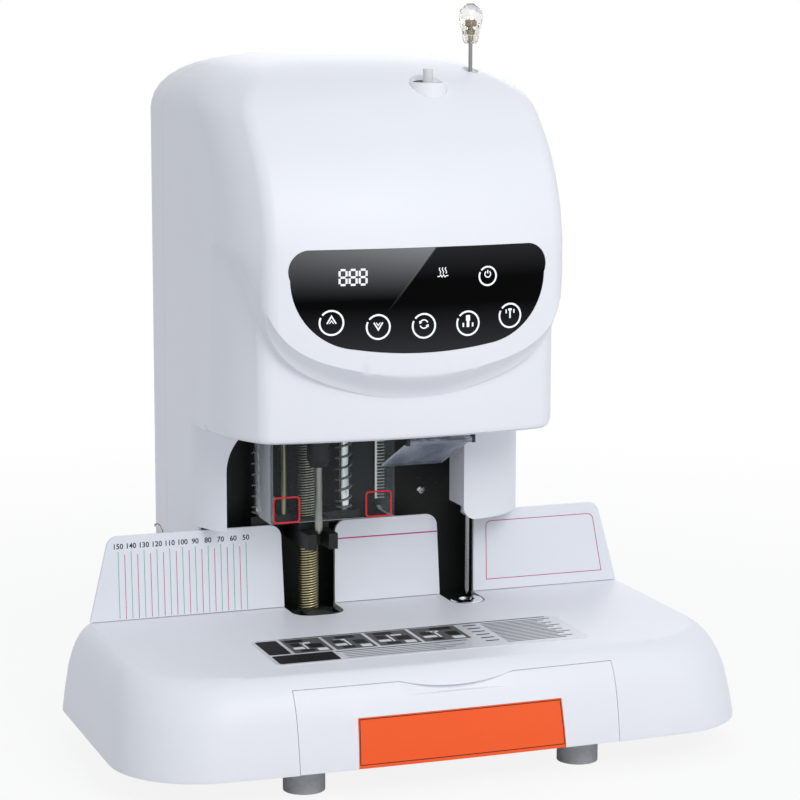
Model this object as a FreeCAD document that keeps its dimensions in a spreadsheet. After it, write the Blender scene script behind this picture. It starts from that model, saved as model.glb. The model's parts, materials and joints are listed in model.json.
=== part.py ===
import FreeCAD, Part
import math
import os
import types

import Sketcher

# Document riveting machine: a tray with a back fence, and over it a head that holds a hollow
# drill on the left and a hot press on the right. Each sub-part is an object of one document,
# and its sizes are bound to the cells of the sheet "Sizes".
#
# Row frame: +X to the operator's right, +Y to the back, +Z up. The origin is on the surface
# that the feet stand on, under the middle of the machine. Lengths are in millimetres.

SIZES = {
    # Whole machine
    "overall_width": 477.4,
    "foot_height": 22.6,
    "foot_diameter": 30.0,
    "foot_spread": 210.4,
    "rear_foot_side_offset": 26.8,
    "foot_front_inset": 42.0,
    "foot_rear_inset": 43.0,
    "foot_recess": 12.0,
    "foot_recess_depth": 6.0,
    "foot_screw_diameter": 5.0,
    "foot_screw_head": 10.0,
    "foot_screw_head_height": 2.6,
    "foot_screw_length": 24.0,
    # Clearances
    "gap": 0.2,
    "running_clearance": 0.05,
    "seat_clearance": 0.3,
    "overrun": 5.0,
    # Tray
    "base_height": 64.5,
    "tray_depth": 228.0,
    "tray_flare_side": 22.7,
    "tray_flare_front": 30.0,
    "tray_bow": 4.0,
    "tray_corner": 67.0,
    "tray_rear_corner": 14.0,
    "cover_wall": 3.0,
    "deck_rim": 14.0,
    "plate_thickness": 2.0,
    "plate_front_inset": 14.0,
    "plate_side_inset": 24.0,
    # Column and head covers
    "column_width": 264.0,
    "column_setback": 179.0,
    "column_depth": 187.0,
    "column_corner": 60.0,
    "seam_rear_setback": 58.0,
    "rear_flange": 2.0,
    "rear_corner": 25.0,
    "head_setback": 87.0,
    "head_bottom": 233.0,
    "head_straight_top": 375.0,
    "head_top": 508.0,
    "head_bow": 9.0,
    "head_corner_width": 27.0,
    "head_corner_depth": 66.0,
    "head_edge_radius": 5.0,
    "chin_step": 18.5,
    "chin_height": 284.0,
    "chin_rise": 64.0,
    "chin_fade_height": 20.0,
    "throat_top": 154.0,
    "leg_front_setback": 225.0,
    "leg_return": 14.0,
    "window_side_width": 17.0,
    "window_press_offset": 9.3,
    "window_lip": 4.0,
    "window_depth": 36.0,
    "window_corner": 10.0,
    "window_arch_radius": 50.0,
    "window_arch_depth": 34.0,
    "cheek_return_depth": 31.0,
    "cheek_return_wall": 2.0,
    # Stations
    "station_setback": 195.4,
    "punch_offset": 43.2,
    "press_offset": 78.3,
    "punch_notch_width": 41.0,
    "punch_notch_setback": 185.0,
    "press_notch_width": 28.4,
    "press_notch_setback": 181.0,
    "punch_notch_corner": 14.0,
    "press_notch_corner": 14.0,
    # Fences
    "fence_setback": 217.2,
    "fence_height": 63.8,
    "fence_lean": 4.3,
    "fence_thickness": 3.0,
    "fence_outer": 216.0,
    "fence_outer_taper": 16.0,
    "fence_notch_taper": 1.5,
    "fence_corner": 9.0,
    # Deck label and drawer
    "label_half_width": 120.0,
    "label_setback": 54.0,
    "label_depth": 70.0,
    "label_thickness": 0.5,
    "label_corner": 6.0,
    "drawer_front_half": 120.5,
    "drawer_front_top": 78.2,
    "drawer_front_wall": 6.0,
    "drawer_half": 70.0,
    "drawer_length": 206.0,
    "drawer_height": 42.0,
    "drawer_wall": 1.6,
    "drawer_lift": 2.8,
    "scallop_half": 43.0,
    "scallop_depth": 5.0,
    "scallop_dish_radius": 255.6,
    "scallop_dish_forward": 208.0,
    "scallop_dish_rise": 142.0,
    "plaque_top": 57.7,
    "plaque_top_half": 76.7,
    "plaque_bottom_half": 78.1,
    "plaque_thickness": 1.0,
    # Steel frame
    "bed_drop": 7.1,
    "bed_thickness": 6.0,
    "bed_side_offset": 20.0,
    "bed_front_setback": 177.0,
    "frame_setback": 255.0,
    "frame_rear_setback": 33.0,
    "frame_wall": 3.0,
    "frame_top": 450.0,
    "top_plate_thickness": 6.0,
    "post_diameter": 12.0,
    "post_offset": 20.0,
    "die_front_setback": 179.0,
    "die_length": 30.0,
    "die_drop": 0.6,
    "die_gap": 0.8,
    "die_margin": 22.5,
    "pad_diameter": 18.0,
    "pad_height": 5.0,
    "pad_drop": 0.7,
    "chip_slot_width": 5.0,
    "chip_slot_rim": 1.7,
    "lower_die_diameter": 26.0,
    "lower_die_seat": 1.5,
    "lower_die_height": 5.4,
    "lower_die_cup": 12.0,
    "lower_die_cup_depth": 1.6,
    # Guides, screws and motors
    "rod_setback": 236.0,
    "rod_spread": 68.0,
    "rod_diameter": 10.0,
    "screw_setback": 221.0,
    "screw_diameter": 16.0,
    "press_screw_setback": 238.0,
    "press_screw_diameter": 12.0,
    "journal_diameter": 8.0,
    "journal_length": 28.0,
    "screw_end_gap": 2.0,
    "bearing_diameter": 22.0,
    "bearing_height": 7.0,
    "motor_diameter": 37.0,
    "motor_height": 33.0,
    "motor_flange": 44.0,
    "motor_flange_thickness": 3.0,
    "motor_recess_depth": 2.0,
    "bracket_half": 24.0,
    "bracket_drop": 206.0,
    "bracket_thickness": 6.0,
    # Drill carriage
    "carriage_bottom": 252.0,
    "carriage_height": 24.0,
    "carriage_nose_half": 22.0,
    "carriage_nose_gap": 5.2,
    "carriage_rear_half": 46.0,
    "carriage_rear_setback": 217.0,
    "carriage_rear_depth": 30.0,
    "bushing_diameter": 19.0,
    "bushing_overhang": 2.0,
    "nut_length": 38.0,
    "spindle_diameter": 10.0,
    "spindle_bore": 4.6,
    "spindle_top": 392.0,
    "spindle_bottom": 226.0,
    "spindle_collar": 14.0,
    "spindle_collar_height": 5.0,
    "spindle_bearing_height": 5.0,
    "chuck_diameter": 18.0,
    "chuck_bottom": 200.0,
    "chuck_top": 240.0,
    "chuck_nose": 12.0,
    "chuck_nose_height": 6.0,
    "bit_diameter": 6.0,
    "bit_bore": 4.4,
    "bit_tip": 148.3,
    "bit_edge": 2.0,
    "shelf_bottom": 364.0,
    "shelf_thickness": 6.0,
    "shelf_margin": 5.0,
    "shelf_rear_setback": 209.2,
    "shelf_front_setback": 177.0,
    "web_thickness": 4.0,
    "motor_side_offset": 37.0,
    "drill_motor_diameter": 36.0,
    "drill_motor_length": 54.0,
    "motor_shaft_diameter": 5.0,
    "motor_shaft_engagement": 14.0,
    "pulley_height": 10.0,
    "pulley_rim": 1.5,
    "pulley_rim_step": 1.8,
    "pulley_lift": 4.0,
    "spindle_pulley_diameter": 22.0,
    "motor_pulley_diameter": 14.0,
    "belt_thickness": 1.4,
    "belt_clearance": 0.1,
    # Paper foot
    "foot_bottom": 137.6,
    "foot_block_height": 20.0,
    "foot_plate_thickness": 8.0,
    "foot_plate_half": 44.0,
    "foot_plate_setback": 226.6,
    "foot_plate_depth": 19.6,
    "fork_half": 12.0,
    "fork_slot_half": 5.0,
    "fork_slot_setback": 205.0,
    "fork_front_setback": 185.0,
    "pin_diameter": 5.0,
    "pin_offset": 16.5,
    "pin_setback": 230.0,
    "pin_top": 290.0,
    "spring_wire": 1.3,
    "spring_diameter": 12.2,
    # Press ram and needle
    "ram_diameter": 12.0,
    "ram_bore": 3.2,
    "ram_top": 348.0,
    "upper_die_bottom": 155.0,
    "upper_die_height": 11.0,
    "upper_die_diameter": 11.0,
    "arm_height": 18.0,
    "arm_half": 17.0,
    "arm_margin": 12.0,
    "needle_diameter": 3.0,
    "needle_tip": 91.3,
    "needle_point": 3.0,
    "needle_top": 523.0,
    "knob_bottom": 516.5,
    "knob_top": 546.4,
    "knob_foot_radius": 4.4,
    "knob_radius": 8.6,
    "knob_shoulder_drop": 9.0,
    "knob_crown_radius": 5.2,
    "knob_crown_drop": 2.6,
    "needle_bush_diameter": 12.0,
    "needle_bush_top": 495.6,
    "needle_bush_height": 14.0,
    # Tube feed
    "port_offset": 33.0,
    "port_setback": 166.0,
    "port_diameter": 28.0,
    "port_top": 489.0,
    "port_height": 15.0,
    "port_wall": 2.2,
    "port_floor": 3.0,
    "tube_diameter": 10.0,
    "tube_bore": 8.0,
    "stock_diameter": 7.6,
    "stock_bore": 4.2,
    "stock_top": 499.0,
    "stock_bottom": 300.0,
    "tube_end_drop": 6.0,
    # Guard and visor
    "guard_left_offset": 86.0,
    "guard_right_offset": 12.5,
    "guard_front_setback": 180.0,
    "guard_depth": 37.0,
    "guard_wall": 3.0,
    "guard_bottom_height": 161.0,
    "guard_top_height": 246.0,
    "guard_corner": 12.0,
    "guard_foot_depth": 16.0,
    "guard_foot_thickness": 3.0,
    "visor_left_offset": 1.5,
    "visor_right_offset": 50.0,
    "visor_setback": 118.0,
    "visor_length": 60.0,
    "visor_drop_height": 28.0,
    "visor_thickness": 2.0,
    "visor_barrel_diameter": 5.0,
    "visor_pin_diameter": 2.0,
    "visor_ear_width": 2.4,
    "visor_hang_height": 4.0,
    # Panel and boards
    "glass_top": 375.2,
    "glass_side_offset": 35.0,
    "glass_widest": 354.0,
    "glass_bottom": 299.6,
    "glass_knee_rise": 4.4,
    "glass_side_mid": 318.5,
    "glass_top_mid": 370.5,
    "board_side_offset": 27.0,
    "board_setback": 99.0,
    "board_thickness": 1.6,
    "board_low_height": 303.0,
    "board_high_height": 372.0,
    "board_post_diameter": 5.0,
    "board_post_offset": 10.0,
    "board_post_length": 5.6,
    "main_board_low": 220.0,
    "main_board_high": 400.0,
    "supply_half": 45.0,
    "supply_front_offset": 9.0,
    "supply_rear_offset": 14.0,
    "supply_height": 46.0,
    "strip_left": 22.5,
    "strip_width": 8.0,
    "strip_thickness": 2.5,
    "strip_low": 160.0,
    "strip_high": 330.0,
    # Knob, inlet and switch
    "knob_setback": 333.0,
    "knob_height": 110.0,
    "side_knob_diameter": 32.0,
    "side_knob_thickness": 8.0,
    "side_knob_shaft": 8.0,
    "side_knob_reach": 16.0,
    "side_knob_collar": 12.0,
    "side_knob_grip": 5.0,
    "side_knob_grip_height": 3.0,
    "inlet_side_offset": 62.0,
    "inlet_height": 62.0,
    "inlet_width": 30.0,
    "inlet_rise": 24.0,
    "inlet_depth": 24.0,
    "inlet_mouth_width": 23.0,
    "inlet_mouth_rise": 16.0,
    "inlet_mouth_depth": 18.0,
    "inlet_border": 3.0,
    "inlet_pin": 2.0,
    "switch_pitch": 45.0,
    "switch_width": 22.0,
    "switch_rise": 28.0,
    "switch_depth": 18.0,
    "switch_border": 3.0,
    "rocker_depth": 9.0,
    "rocker_tilt": 8.0,
    # Screws and vents
    "screw_head_diameter": 7.0,
    "screw_head_height": 2.0,
    "screw_shank": 4.0,
    "screw_length": 8.0,
    "frame_screw_offset": 50.0,
    "frame_screw_height": 164.0,
    "frame_screw_upper_height": 420.0,
    "guard_screw_offset": 10.0,
    "rear_screw_offset": 34.0,
    "rear_screw_low": 50.0,
    "rear_screw_high": 440.0,
    "vent_height": 3.4,
    "vent_pitch": 9.0,
    "vent_low": 330.0,
}

SPRING_TURNS = 10
VENT_COUNT = 9
VENT_COLUMN_SHARES = (-0.45, 0.45)
VENT_WIDTH_SHARE = 0.53

# Control glass outline: half widths at the shoulder, the upper corner, the side and the knee.
GLASS_SHARES = {"shoulder": 0.866, "corner": 0.969, "side": 0.845, "knee": 0.536}

# Head corner seen from above: how far in from the side and back from the shoulder its ridge lies.
# A round corner has its ridge at the middle of the quarter circle. The turns are those of the two
# arcs that meet there, in degrees.
RIDGE_SHARES = (0.63, 0.13)
RIDGE_TURNS = (28, 50)
ROUND_SHARES = (0.2929, 0.2929)
ROUND_TURNS = (45, 45)

# Lower edge of the raised chin: half width, and height above the lowest point.
CHIN_SHARES = (
    (0.0, 0.0), (0.16, 0.02), (0.42, 0.15), (0.655, 0.37), (0.795, 0.65), (0.875, 1.09),
    (0.94, 1.6), (1.06, 2.2),
)
# Slope under that edge: setback as a share of the step, and how much of the fade is used up.
CHIN_FADE_SHARES = (
    (0.0, 0.0), (0.08, 0.14), (0.25, 0.30), (0.50, 0.47), (0.75, 0.64), (0.92, 0.82), (1.0, 1.0),
    (5.8, 2.0),
)
# Rounded lower edge of the head: height, and how far the outline is drawn in there.
EDGE_SHARES = ((0.0, 1.0), (0.12, 0.52), (0.4, 0.2), (1.0, 0.0))

# Tray flanks: height above the base's lower edge, and how much of the flare is used up by then.
TRAY_SHARES = ((0.0, 0.0), (0.03, 0.0), (0.545, 0.22), (0.81, 0.48), (0.94, 0.74), (1.0, 1.0))

# Head above its straight part: height, front retreat towards the seam, half width, corner size
# and how far the rear wall still reaches back from the seam.
HEAD_SHARES = (
    (0.0, 0.0, 1.0, 1.0, 1.0),
    (0.188, 0.023, 1.0, 1.0, 1.0),
    (0.361, 0.068, 1.0, 1.0, 1.0),
    (0.489, 0.118, 1.0, 1.0, 1.0),
    (0.579, 0.167, 1.0, 1.0, 1.0),
    (0.677, 0.225, 1.0, 1.0, 1.0),
    (0.767, 0.285, 0.978, 1.0, 0.98),
    (0.865, 0.376, 0.895, 1.0, 0.93),
    (0.940, 0.489, 0.745, 1.0, 0.80),
    (0.977, 0.579, 0.580, 0.9, 0.62),
    (1.0, 0.692, 0.400, 0.6, 0.36),
)


def smooth_slope(before, after):
    """Return a slope between two rises that keeps the curve between its points."""
    return 2 * before * after / (before + after) if before * after > 0 else 0.0


def smoothed(rows):
    """Return a table with a row more in each step, on smooth curves through the given rows."""
    columns = []
    for column in zip(*rows):
        rises = [high - low for low, high in zip(column, column[1:])]
        inner = [smooth_slope(*pair) for pair in zip(rises, rises[1:])]
        slopes = [rises[0]] + inner + [rises[-1]]
        middles = [
            (column[i] + column[i + 1]) / 2 + (slopes[i] - slopes[i + 1]) / 8 for i in range(len(rises))
        ]
        columns.append([value for pair in zip(column, middles) for value in pair] + [column[-1]])
    return tuple(zip(*columns))


class Dim:
    """A length held as a number and as the sheet expression that gives it."""

    def __init__(self, value, text):
        self.value = value
        self.text = text

    def __add__(self, other):
        other = dim(other)
        return Dim(self.value + other.value, f"({self.text} + {other.text})")

    __radd__ = __add__

    def __sub__(self, other):
        other = dim(other)
        return Dim(self.value - other.value, f"({self.text} - {other.text})")

    def __rsub__(self, other):
        return dim(other) - self

    def __mul__(self, factor):
        return Dim(self.value * factor, f"({self.text} * {factor})")

    __rmul__ = __mul__

    def __truediv__(self, factor):
        return Dim(self.value / factor, f"({self.text} / {factor})")

    def __neg__(self):
        return Dim(-self.value, f"(0 - {self.text})")

    def __float__(self):
        return float(self.value)


def dim(number):
    """Return the number as a Dim, or the Dim that it already is."""
    return number if isinstance(number, Dim) else Dim(float(number), str(number))


doc = FreeCAD.newDocument("riveting_machine")
sheet = doc.addObject("Spreadsheet::Sheet", "Sizes")
for row, (alias, length) in enumerate(SIZES.items(), start=1):
    sheet.set(f"A{row}", alias)
    sheet.set(f"B{row}", str(length))
    sheet.setAlias(f"B{row}", alias)
doc.recompute()

s = types.SimpleNamespace(
    **{alias: Dim(float(sheet.get(alias)), f"Sizes.{alias}") for alias in SIZES}
)
ZERO = dim(0)
nodes = {}


def bind(obj, **cells):
    """Bind properties of an object to lengths of the sheet."""
    for prop, length in cells.items():
        obj.setExpression(prop, dim(length).text)
    return obj


def seat(obj, x=ZERO, y=ZERO, z=ZERO, rotation=None):
    """Turn an object and bind its place to lengths of the sheet."""
    if rotation is not None:
        obj.Placement = FreeCAD.Placement(FreeCAD.Vector(), rotation)
    obj.setExpression("Placement.Base.x", dim(x).text)
    obj.setExpression("Placement.Base.y", dim(y).text)
    obj.setExpression("Placement.Base.z", dim(z).text)
    return obj


def block(name, x, y, z):
    """Add a box that runs from the first to the second length along each axis."""
    box = doc.addObject("Part::Box", name)
    bind(box, Length=dim(x[1]) - x[0], Width=dim(y[1]) - y[0], Height=dim(z[1]) - z[0])
    return seat(box, x[0], y[0], z[0])


ALONG_X = FreeCAD.Rotation(FreeCAD.Vector(0, 1, 0), 90)
ALONG_Y = FreeCAD.Rotation(FreeCAD.Vector(1, 0, 0), -90)


def rod_z(name, diameter, x, y, z):
    """Add an upright cylinder from z[0] to z[1]."""
    rod = doc.addObject("Part::Cylinder", name)
    bind(rod, Radius=dim(diameter) / 2, Height=dim(z[1]) - z[0])
    return seat(rod, x, y, z[0])


def rod_y(name, diameter, x, y, z):
    """Add a cylinder along Y from y[0] to y[1]."""
    rod = doc.addObject("Part::Cylinder", name)
    bind(rod, Radius=dim(diameter) / 2, Height=dim(y[1]) - y[0])
    return seat(rod, x, y[0], z, ALONG_Y)


def rod_x(name, diameter, x, y, z):
    """Add a cylinder along X from x[0] to x[1]."""
    rod = doc.addObject("Part::Cylinder", name)
    bind(rod, Radius=dim(diameter) / 2, Height=dim(x[1]) - x[0])
    return seat(rod, x[0], y, z, ALONG_X)


def joined(name, *parts):
    """Fuse overlapping or touching parts into one solid."""
    union = doc.addObject("Part::MultiFuse", name)
    union.Shapes = list(parts)
    return union


def less(name, base, *tools):
    """Cut one or more tools from a base."""
    cut = doc.addObject("Part::Cut", name)
    cut.Base = base
    cut.Tool = tools[0] if len(tools) == 1 else joined(f"{name}_tools", *tools)
    return cut


def ring_z(name, outer, bore, x, y, z):
    """Add an upright ring."""
    bore_z = (dim(z[0]) - s.overrun, dim(z[1]) + s.overrun)
    return less(name, rod_z(f"{name}_rim", outer, x, y, z), rod_z(f"{name}_bore", bore, x, y, bore_z))


def group(name, *parts):
    """Keep separate solids together as one node."""
    bundle = doc.addObject("Part::Compound", name)
    bundle.Links = list(parts)
    return bundle


def node(name, obj):
    """Name the object as the sub-part that is written to NAME.step."""
    obj.Label = name
    nodes[name] = obj
    return obj


def shape_node(name, shape):
    """Add a sub-part whose shape has no feature of its own in the document."""
    feature = doc.addObject("Part::Feature", name)
    feature.Shape = shape
    return feature


def new_sketch(body, role, name):
    """Attach a sketch to one of the body's own origin planes."""
    plane = [item for item in body.Origin.OriginFeatures if item.Role == role][0]
    sketch = body.newObject("Sketcher::SketchObject", name)
    sketch.AttachmentSupport = (plane, [""])
    sketch.MapMode = "FlatFace"
    return sketch


def pin_point(sketch, geometry, place, point):
    """Hold one end of a sketched line at its two lengths from the origin."""
    kinds = (("DistanceX", -2, point[0]), ("DistanceY", -1, point[1]))
    for kind, axis, length in kinds:
        length = dim(length)
        if length.value == 0:
            sketch.addConstraint(Sketcher.Constraint("PointOnObject", geometry, place, axis))
            continue
        constraint = Sketcher.Constraint(kind, -1, 1, geometry, place, length.value)
        index = sketch.addConstraint(constraint)
        sketch.setExpression(f"Constraints[{index}]", length.text)


def outline(sketch, points):
    """Draw a closed outline of straight lines whose corners are bound to the sheet."""
    count = len(points)
    corners = [FreeCAD.Vector(float(dim(x)), float(dim(y)), 0) for x, y in points]
    for index in range(count):
        sketch.addGeometry(Part.LineSegment(corners[index], corners[(index + 1) % count]), False)
    for index in range(count):
        following = (index + 1) % count
        sketch.addConstraint(Sketcher.Constraint("Coincident", index, 2, following, 1))
    for index in range(count):
        pin_point(sketch, index, 1, points[index])


def prism(name, role, points, length):
    """Pad an outline drawn on an origin plane into a body."""
    body = doc.addObject("PartDesign::Body", name)
    sketch = new_sketch(body, role, f"{name}_sketch")
    outline(sketch, points)
    pad = body.newObject("PartDesign::Pad", f"{name}_pad")
    pad.Profile = sketch
    bind(pad, Length=length)
    return body


def prism_xy(name, points, z):
    """Pad an outline in X and Y from z[0] up to z[1]."""
    return seat(prism(name, "XY_Plane", points, dim(z[1]) - z[0]), z=z[0])


def prism_xz(name, points, y):
    """Pad an outline in X and Z from y[1] forward to y[0]."""
    return seat(prism(name, "XZ_Plane", points, dim(y[1]) - y[0]), y=y[1])


def prism_yz(name, points, x):
    """Pad an outline in Y and Z from x[0] to x[1]."""
    return seat(prism(name, "YZ_Plane", points, dim(x[1]) - x[0]), x=x[0])


def turned(name, profile, x, y):
    """Revolve a profile of (radius, height) corners about an upright axis."""
    body = doc.addObject("PartDesign::Body", name)
    sketch = new_sketch(body, "XZ_Plane", f"{name}_sketch")
    outline(sketch, profile)
    turn = body.newObject("PartDesign::Revolution", f"{name}_turn")
    turn.Profile = sketch
    turn.ReferenceAxis = (sketch, ["V_Axis"])
    turn.Angle = 360
    return seat(body, x, y)


def round_edges(body, radius, picks):
    """Fillet the edges of a body's tip that a test picks."""
    doc.recompute()
    tip = body.Tip
    names = [f"Edge{i}" for i, edge in enumerate(tip.Shape.Edges, start=1) if picks(edge)]
    fillet = body.newObject("PartDesign::Fillet", f"{body.Name}_fillet")
    fillet.Base = (tip, names)
    bind(fillet, Radius=radius)
    return body


def edge_runs(edge, axis):
    """Tell whether an edge is straight along the axis with the given index."""
    step = edge.Vertexes[-1].Point.sub(edge.Vertexes[0].Point)
    return abs(step[axis]) > 0.99 * step.Length > 0


# Reference places
rear = (s.column_setback + s.column_depth) / 2
front = -rear
deck = s.foot_height + s.base_height
tray_rear = front + s.tray_depth
column_front = front + s.column_setback
seam = rear - s.seam_rear_setback
head_front = front + s.head_setback
rear_wall = rear - s.rear_flange
half = s.column_width / 2
bed_half = half - s.bed_side_offset
glass_half = half - s.glass_side_offset
board_half = glass_half - s.board_side_offset
station_y = front + s.station_setback
punch_x = -s.punch_offset
press_x = s.press_offset
motor_x = s.motor_side_offset - half
window_left = half - s.window_side_width
window_right = press_x - s.window_press_offset
guide_y = front + s.rod_setback
screw_y = front + s.screw_setback
press_screw_y = front + s.press_screw_setback
bed_top = deck - s.bed_drop
bed_low = bed_top - s.bed_thickness
bed_front = front + s.bed_front_setback
frame_front = front + s.frame_setback
frame_rear = rear - s.frame_rear_setback
fence_y = front + s.fence_setback
leg_front = front + s.leg_front_setback
plate_top = s.foot_height + s.plate_thickness
bracket_top = s.frame_top - s.bracket_drop + s.bracket_thickness * 2
bracket_low = bracket_top - s.bracket_thickness
carriage_rear_y = front + s.carriage_rear_setback
shelf_y = (front + s.shelf_front_setback, front + s.shelf_rear_setback)
pin_y = front + s.pin_setback
guide_xs = (punch_x - s.rod_spread / 2, punch_x + s.rod_spread / 2)


def vector(x, y, z):
    """Return a point from three lengths."""
    return FreeCAD.Vector(float(x), float(y), float(z))


def arc(start, middle, end):
    """Return the edge of a circular arc through three points."""
    return Part.Arc(start, middle, end).toShape()


def line(start, end):
    """Return a straight edge."""
    return Part.LineSegment(start, end).toShape()


def swell(start, end, turn):
    """Return the middle of a level arc that turns by some degrees, in front of its chord."""
    step = end - start
    ahead = FreeCAD.Vector(step.y, -step.x, 0).normalize()
    return (start + end) * 0.5 + ahead * (step.Length / 2 * math.tan(math.radians(turn) / 4))


def front_wire(level, half_width, y_front, y_back, bow, corner, ridge, turns):
    """Return a plan outline with a bowed front and two front corners, open-sided to the back."""
    corner_width, corner_depth = corner
    shoulder = half_width - corner_width
    y_shoulder = y_front + bow
    y_side = y_shoulder + corner_depth
    ridge_x = half_width - corner_width * ridge[0]
    ridge_y = y_shoulder + corner_depth * ridge[1]
    right = [
        vector(shoulder, y_shoulder, level),
        vector(ridge_x, ridge_y, level),
        vector(half_width, y_side, level),
        vector(half_width, y_back, level),
    ]
    left = [vector(-point.x, point.y, level) for point in right]
    if bow > 0:
        face = arc(left[0], vector(0, y_front, level), right[0])
    else:
        face = line(left[0], right[0])
    edges = [
        line(left[3], left[2]),
        arc(left[2], swell(left[2], left[1], turns[0]), left[1]),
        arc(left[1], swell(left[1], left[0], turns[1]), left[0]),
        face,
        arc(right[0], swell(right[0], right[1], turns[1]), right[1]),
        arc(right[1], swell(right[1], right[2], turns[0]), right[2]),
        line(right[2], right[3]),
        line(right[3], left[3]),
    ]
    return Part.Wire(edges)


def raised(wire, height):
    """Extrude a level wire upwards into a solid."""
    return Part.Face(wire).extrude(FreeCAD.Vector(0, 0, float(height)))


def head_levels(inset):
    """Yield height, front, half width, corner share and rear of the head's upper sections."""
    low = float(s.head_straight_top)
    rise = float(s.head_top) - inset - low
    y_front = float(head_front) + inset
    retreat = float(seam) - float(head_front)
    y_rear = float(rear_wall) - inset
    for height, back, width, corner, reach in smoothed(HEAD_SHARES):
        yield (
            low + height * rise,
            y_front + back * retreat,
            float(half) * width - inset,
            corner,
            float(seam) + (y_rear - float(seam)) * reach,
        )


def head_solid(inset, y_back):
    """Return the head's envelope in front of the seam, drawn in by the inset."""
    low = float(s.head_bottom) + inset
    straight = float(s.head_straight_top)
    bow = float(s.head_bow)
    width = float(s.head_corner_width)
    depth = float(s.head_corner_depth)
    wires = []
    for level, y_front, half_width, corner, _ in head_levels(inset):
        wires.append(
            front_wire(
                level, half_width, y_front, y_back, bow * corner, (width * corner, depth * corner),
                RIDGE_SHARES, RIDGE_TURNS,
            )
        )
    crown = Part.makeLoft(wires, True, True)
    trunk = front_wire(
        low, float(half) - inset, float(head_front) + inset, y_back, bow, (width, depth),
        RIDGE_SHARES, RIDGE_TURNS,
    )
    return raised(trunk, straight - low).fuse(crown)


def smile_prism(inset):
    """Return the block under the raised chin's lower edge, which fades back to the lower face."""
    side = float(half) - inset
    rise = float(s.chin_height) + inset
    low = float(s.head_bottom) - float(s.overrun) * 2
    y_front = float(head_front) + inset
    places = [(x * side, rise + z * float(s.chin_rise)) for x, z in CHIN_SHARES]
    places = [(-x, z) for x, z in places[:0:-1]] + places
    wires = []
    for back, fade in ((-1.0, 0.0),) + CHIN_FADE_SHARES:
        y = y_front + back * float(s.chin_step)
        drop = fade * float(s.chin_fade_height)
        edge = Part.BSplineCurve()
        edge.interpolate([vector(x, y, z - drop) for x, z in places])
        left, right = places[0], places[-1]
        wires.append(Part.Wire([
            edge.toShape(),
            line(vector(right[0], y, right[1] - drop), vector(right[0], y, low)),
            line(vector(right[0], y, low), vector(left[0], y, low)),
            line(vector(left[0], y, low), vector(left[0], y, left[1] - drop)),
        ]))
    return Part.makeLoft(wires, True, True)


def lower_face_solid(inset):
    """Return the set-back lower part of the head, which stays where the chin is cut away."""
    low = float(s.head_bottom) + inset
    y_front = float(head_front) + float(s.chin_step) + inset
    corner = (float(s.head_corner_width), float(s.head_corner_depth))
    edge = float(s.head_edge_radius)
    wires = []
    for height, drawn in EDGE_SHARES + ((None, 0.0),):
        level = float(s.head_top) if height is None else low + height * edge
        wires.append(front_wire(
            level, float(half) - inset - drawn * edge, y_front + drawn * edge,
            float(seam) + float(s.overrun), float(s.head_bow), corner, RIDGE_SHARES, RIDGE_TURNS,
        ))
    return Part.makeLoft(wires, True, True)


def column_solid(inset, low, y_back):
    """Return the column under the head, from the given height into the head."""
    corner = float(s.column_corner) - inset
    wire = front_wire(
        low, float(half) - inset, float(column_front) + inset, y_back, 0.0, (corner, corner),
        ROUND_SHARES, ROUND_TURNS,
    )
    return raised(wire, float(s.head_bottom) + 2 * float(s.overrun) - low)


def front_envelope(inset, low, y_back):
    """Return head and column in one solid, drawn in by the inset."""
    head = head_solid(inset, y_back).cut(smile_prism(inset).cut(lower_face_solid(inset)))
    return head.fuse(column_solid(inset, low, y_back))


def glass_prism(inset):
    """Return the control glass's outline as a prism through the head's front."""
    y = float(head_front) - float(s.overrun)
    top = float(s.glass_top) - inset
    width = float(glass_half)
    shoulder = width * GLASS_SHARES["shoulder"]
    wide = width - inset
    widest = float(s.glass_widest)
    bottom = float(s.glass_bottom) + inset
    knee = width * GLASS_SHARES["knee"]
    knee_z = bottom + float(s.glass_knee_rise)
    side_x = width * GLASS_SHARES["side"] - inset
    side_z = float(s.glass_side_mid) + inset
    top_x = width * GLASS_SHARES["corner"] - inset
    top_z = float(s.glass_top_mid) - inset
    edges = [
        line(vector(-shoulder, y, top), vector(shoulder, y, top)),
        arc(vector(shoulder, y, top), vector(top_x, y, top_z), vector(wide, y, widest)),
        arc(vector(wide, y, widest), vector(side_x, y, side_z), vector(knee, y, knee_z)),
        arc(vector(knee, y, knee_z), vector(0, y, bottom), vector(-knee, y, knee_z)),
        arc(vector(-knee, y, knee_z), vector(-side_x, y, side_z), vector(-wide, y, widest)),
        arc(vector(-wide, y, widest), vector(-top_x, y, top_z), vector(-shoulder, y, top)),
    ]
    return Part.Face(Part.Wire(edges)).extrude(FreeCAD.Vector(0, float(s.column_corner), 0))


def plain_box(x, y, z):
    """Return a box shape between two lengths along each axis."""
    size = [float(high) - float(low) for low, high in (x, y, z)]
    return Part.makeBox(*size, vector(x[0], y[0], z[0]))


def plain_rod(diameter, x, y, z):
    """Return an upright cylinder shape."""
    return Part.makeCylinder(float(diameter) / 2, float(z[1]) - float(z[0]), vector(x, y, z[0]))


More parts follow.
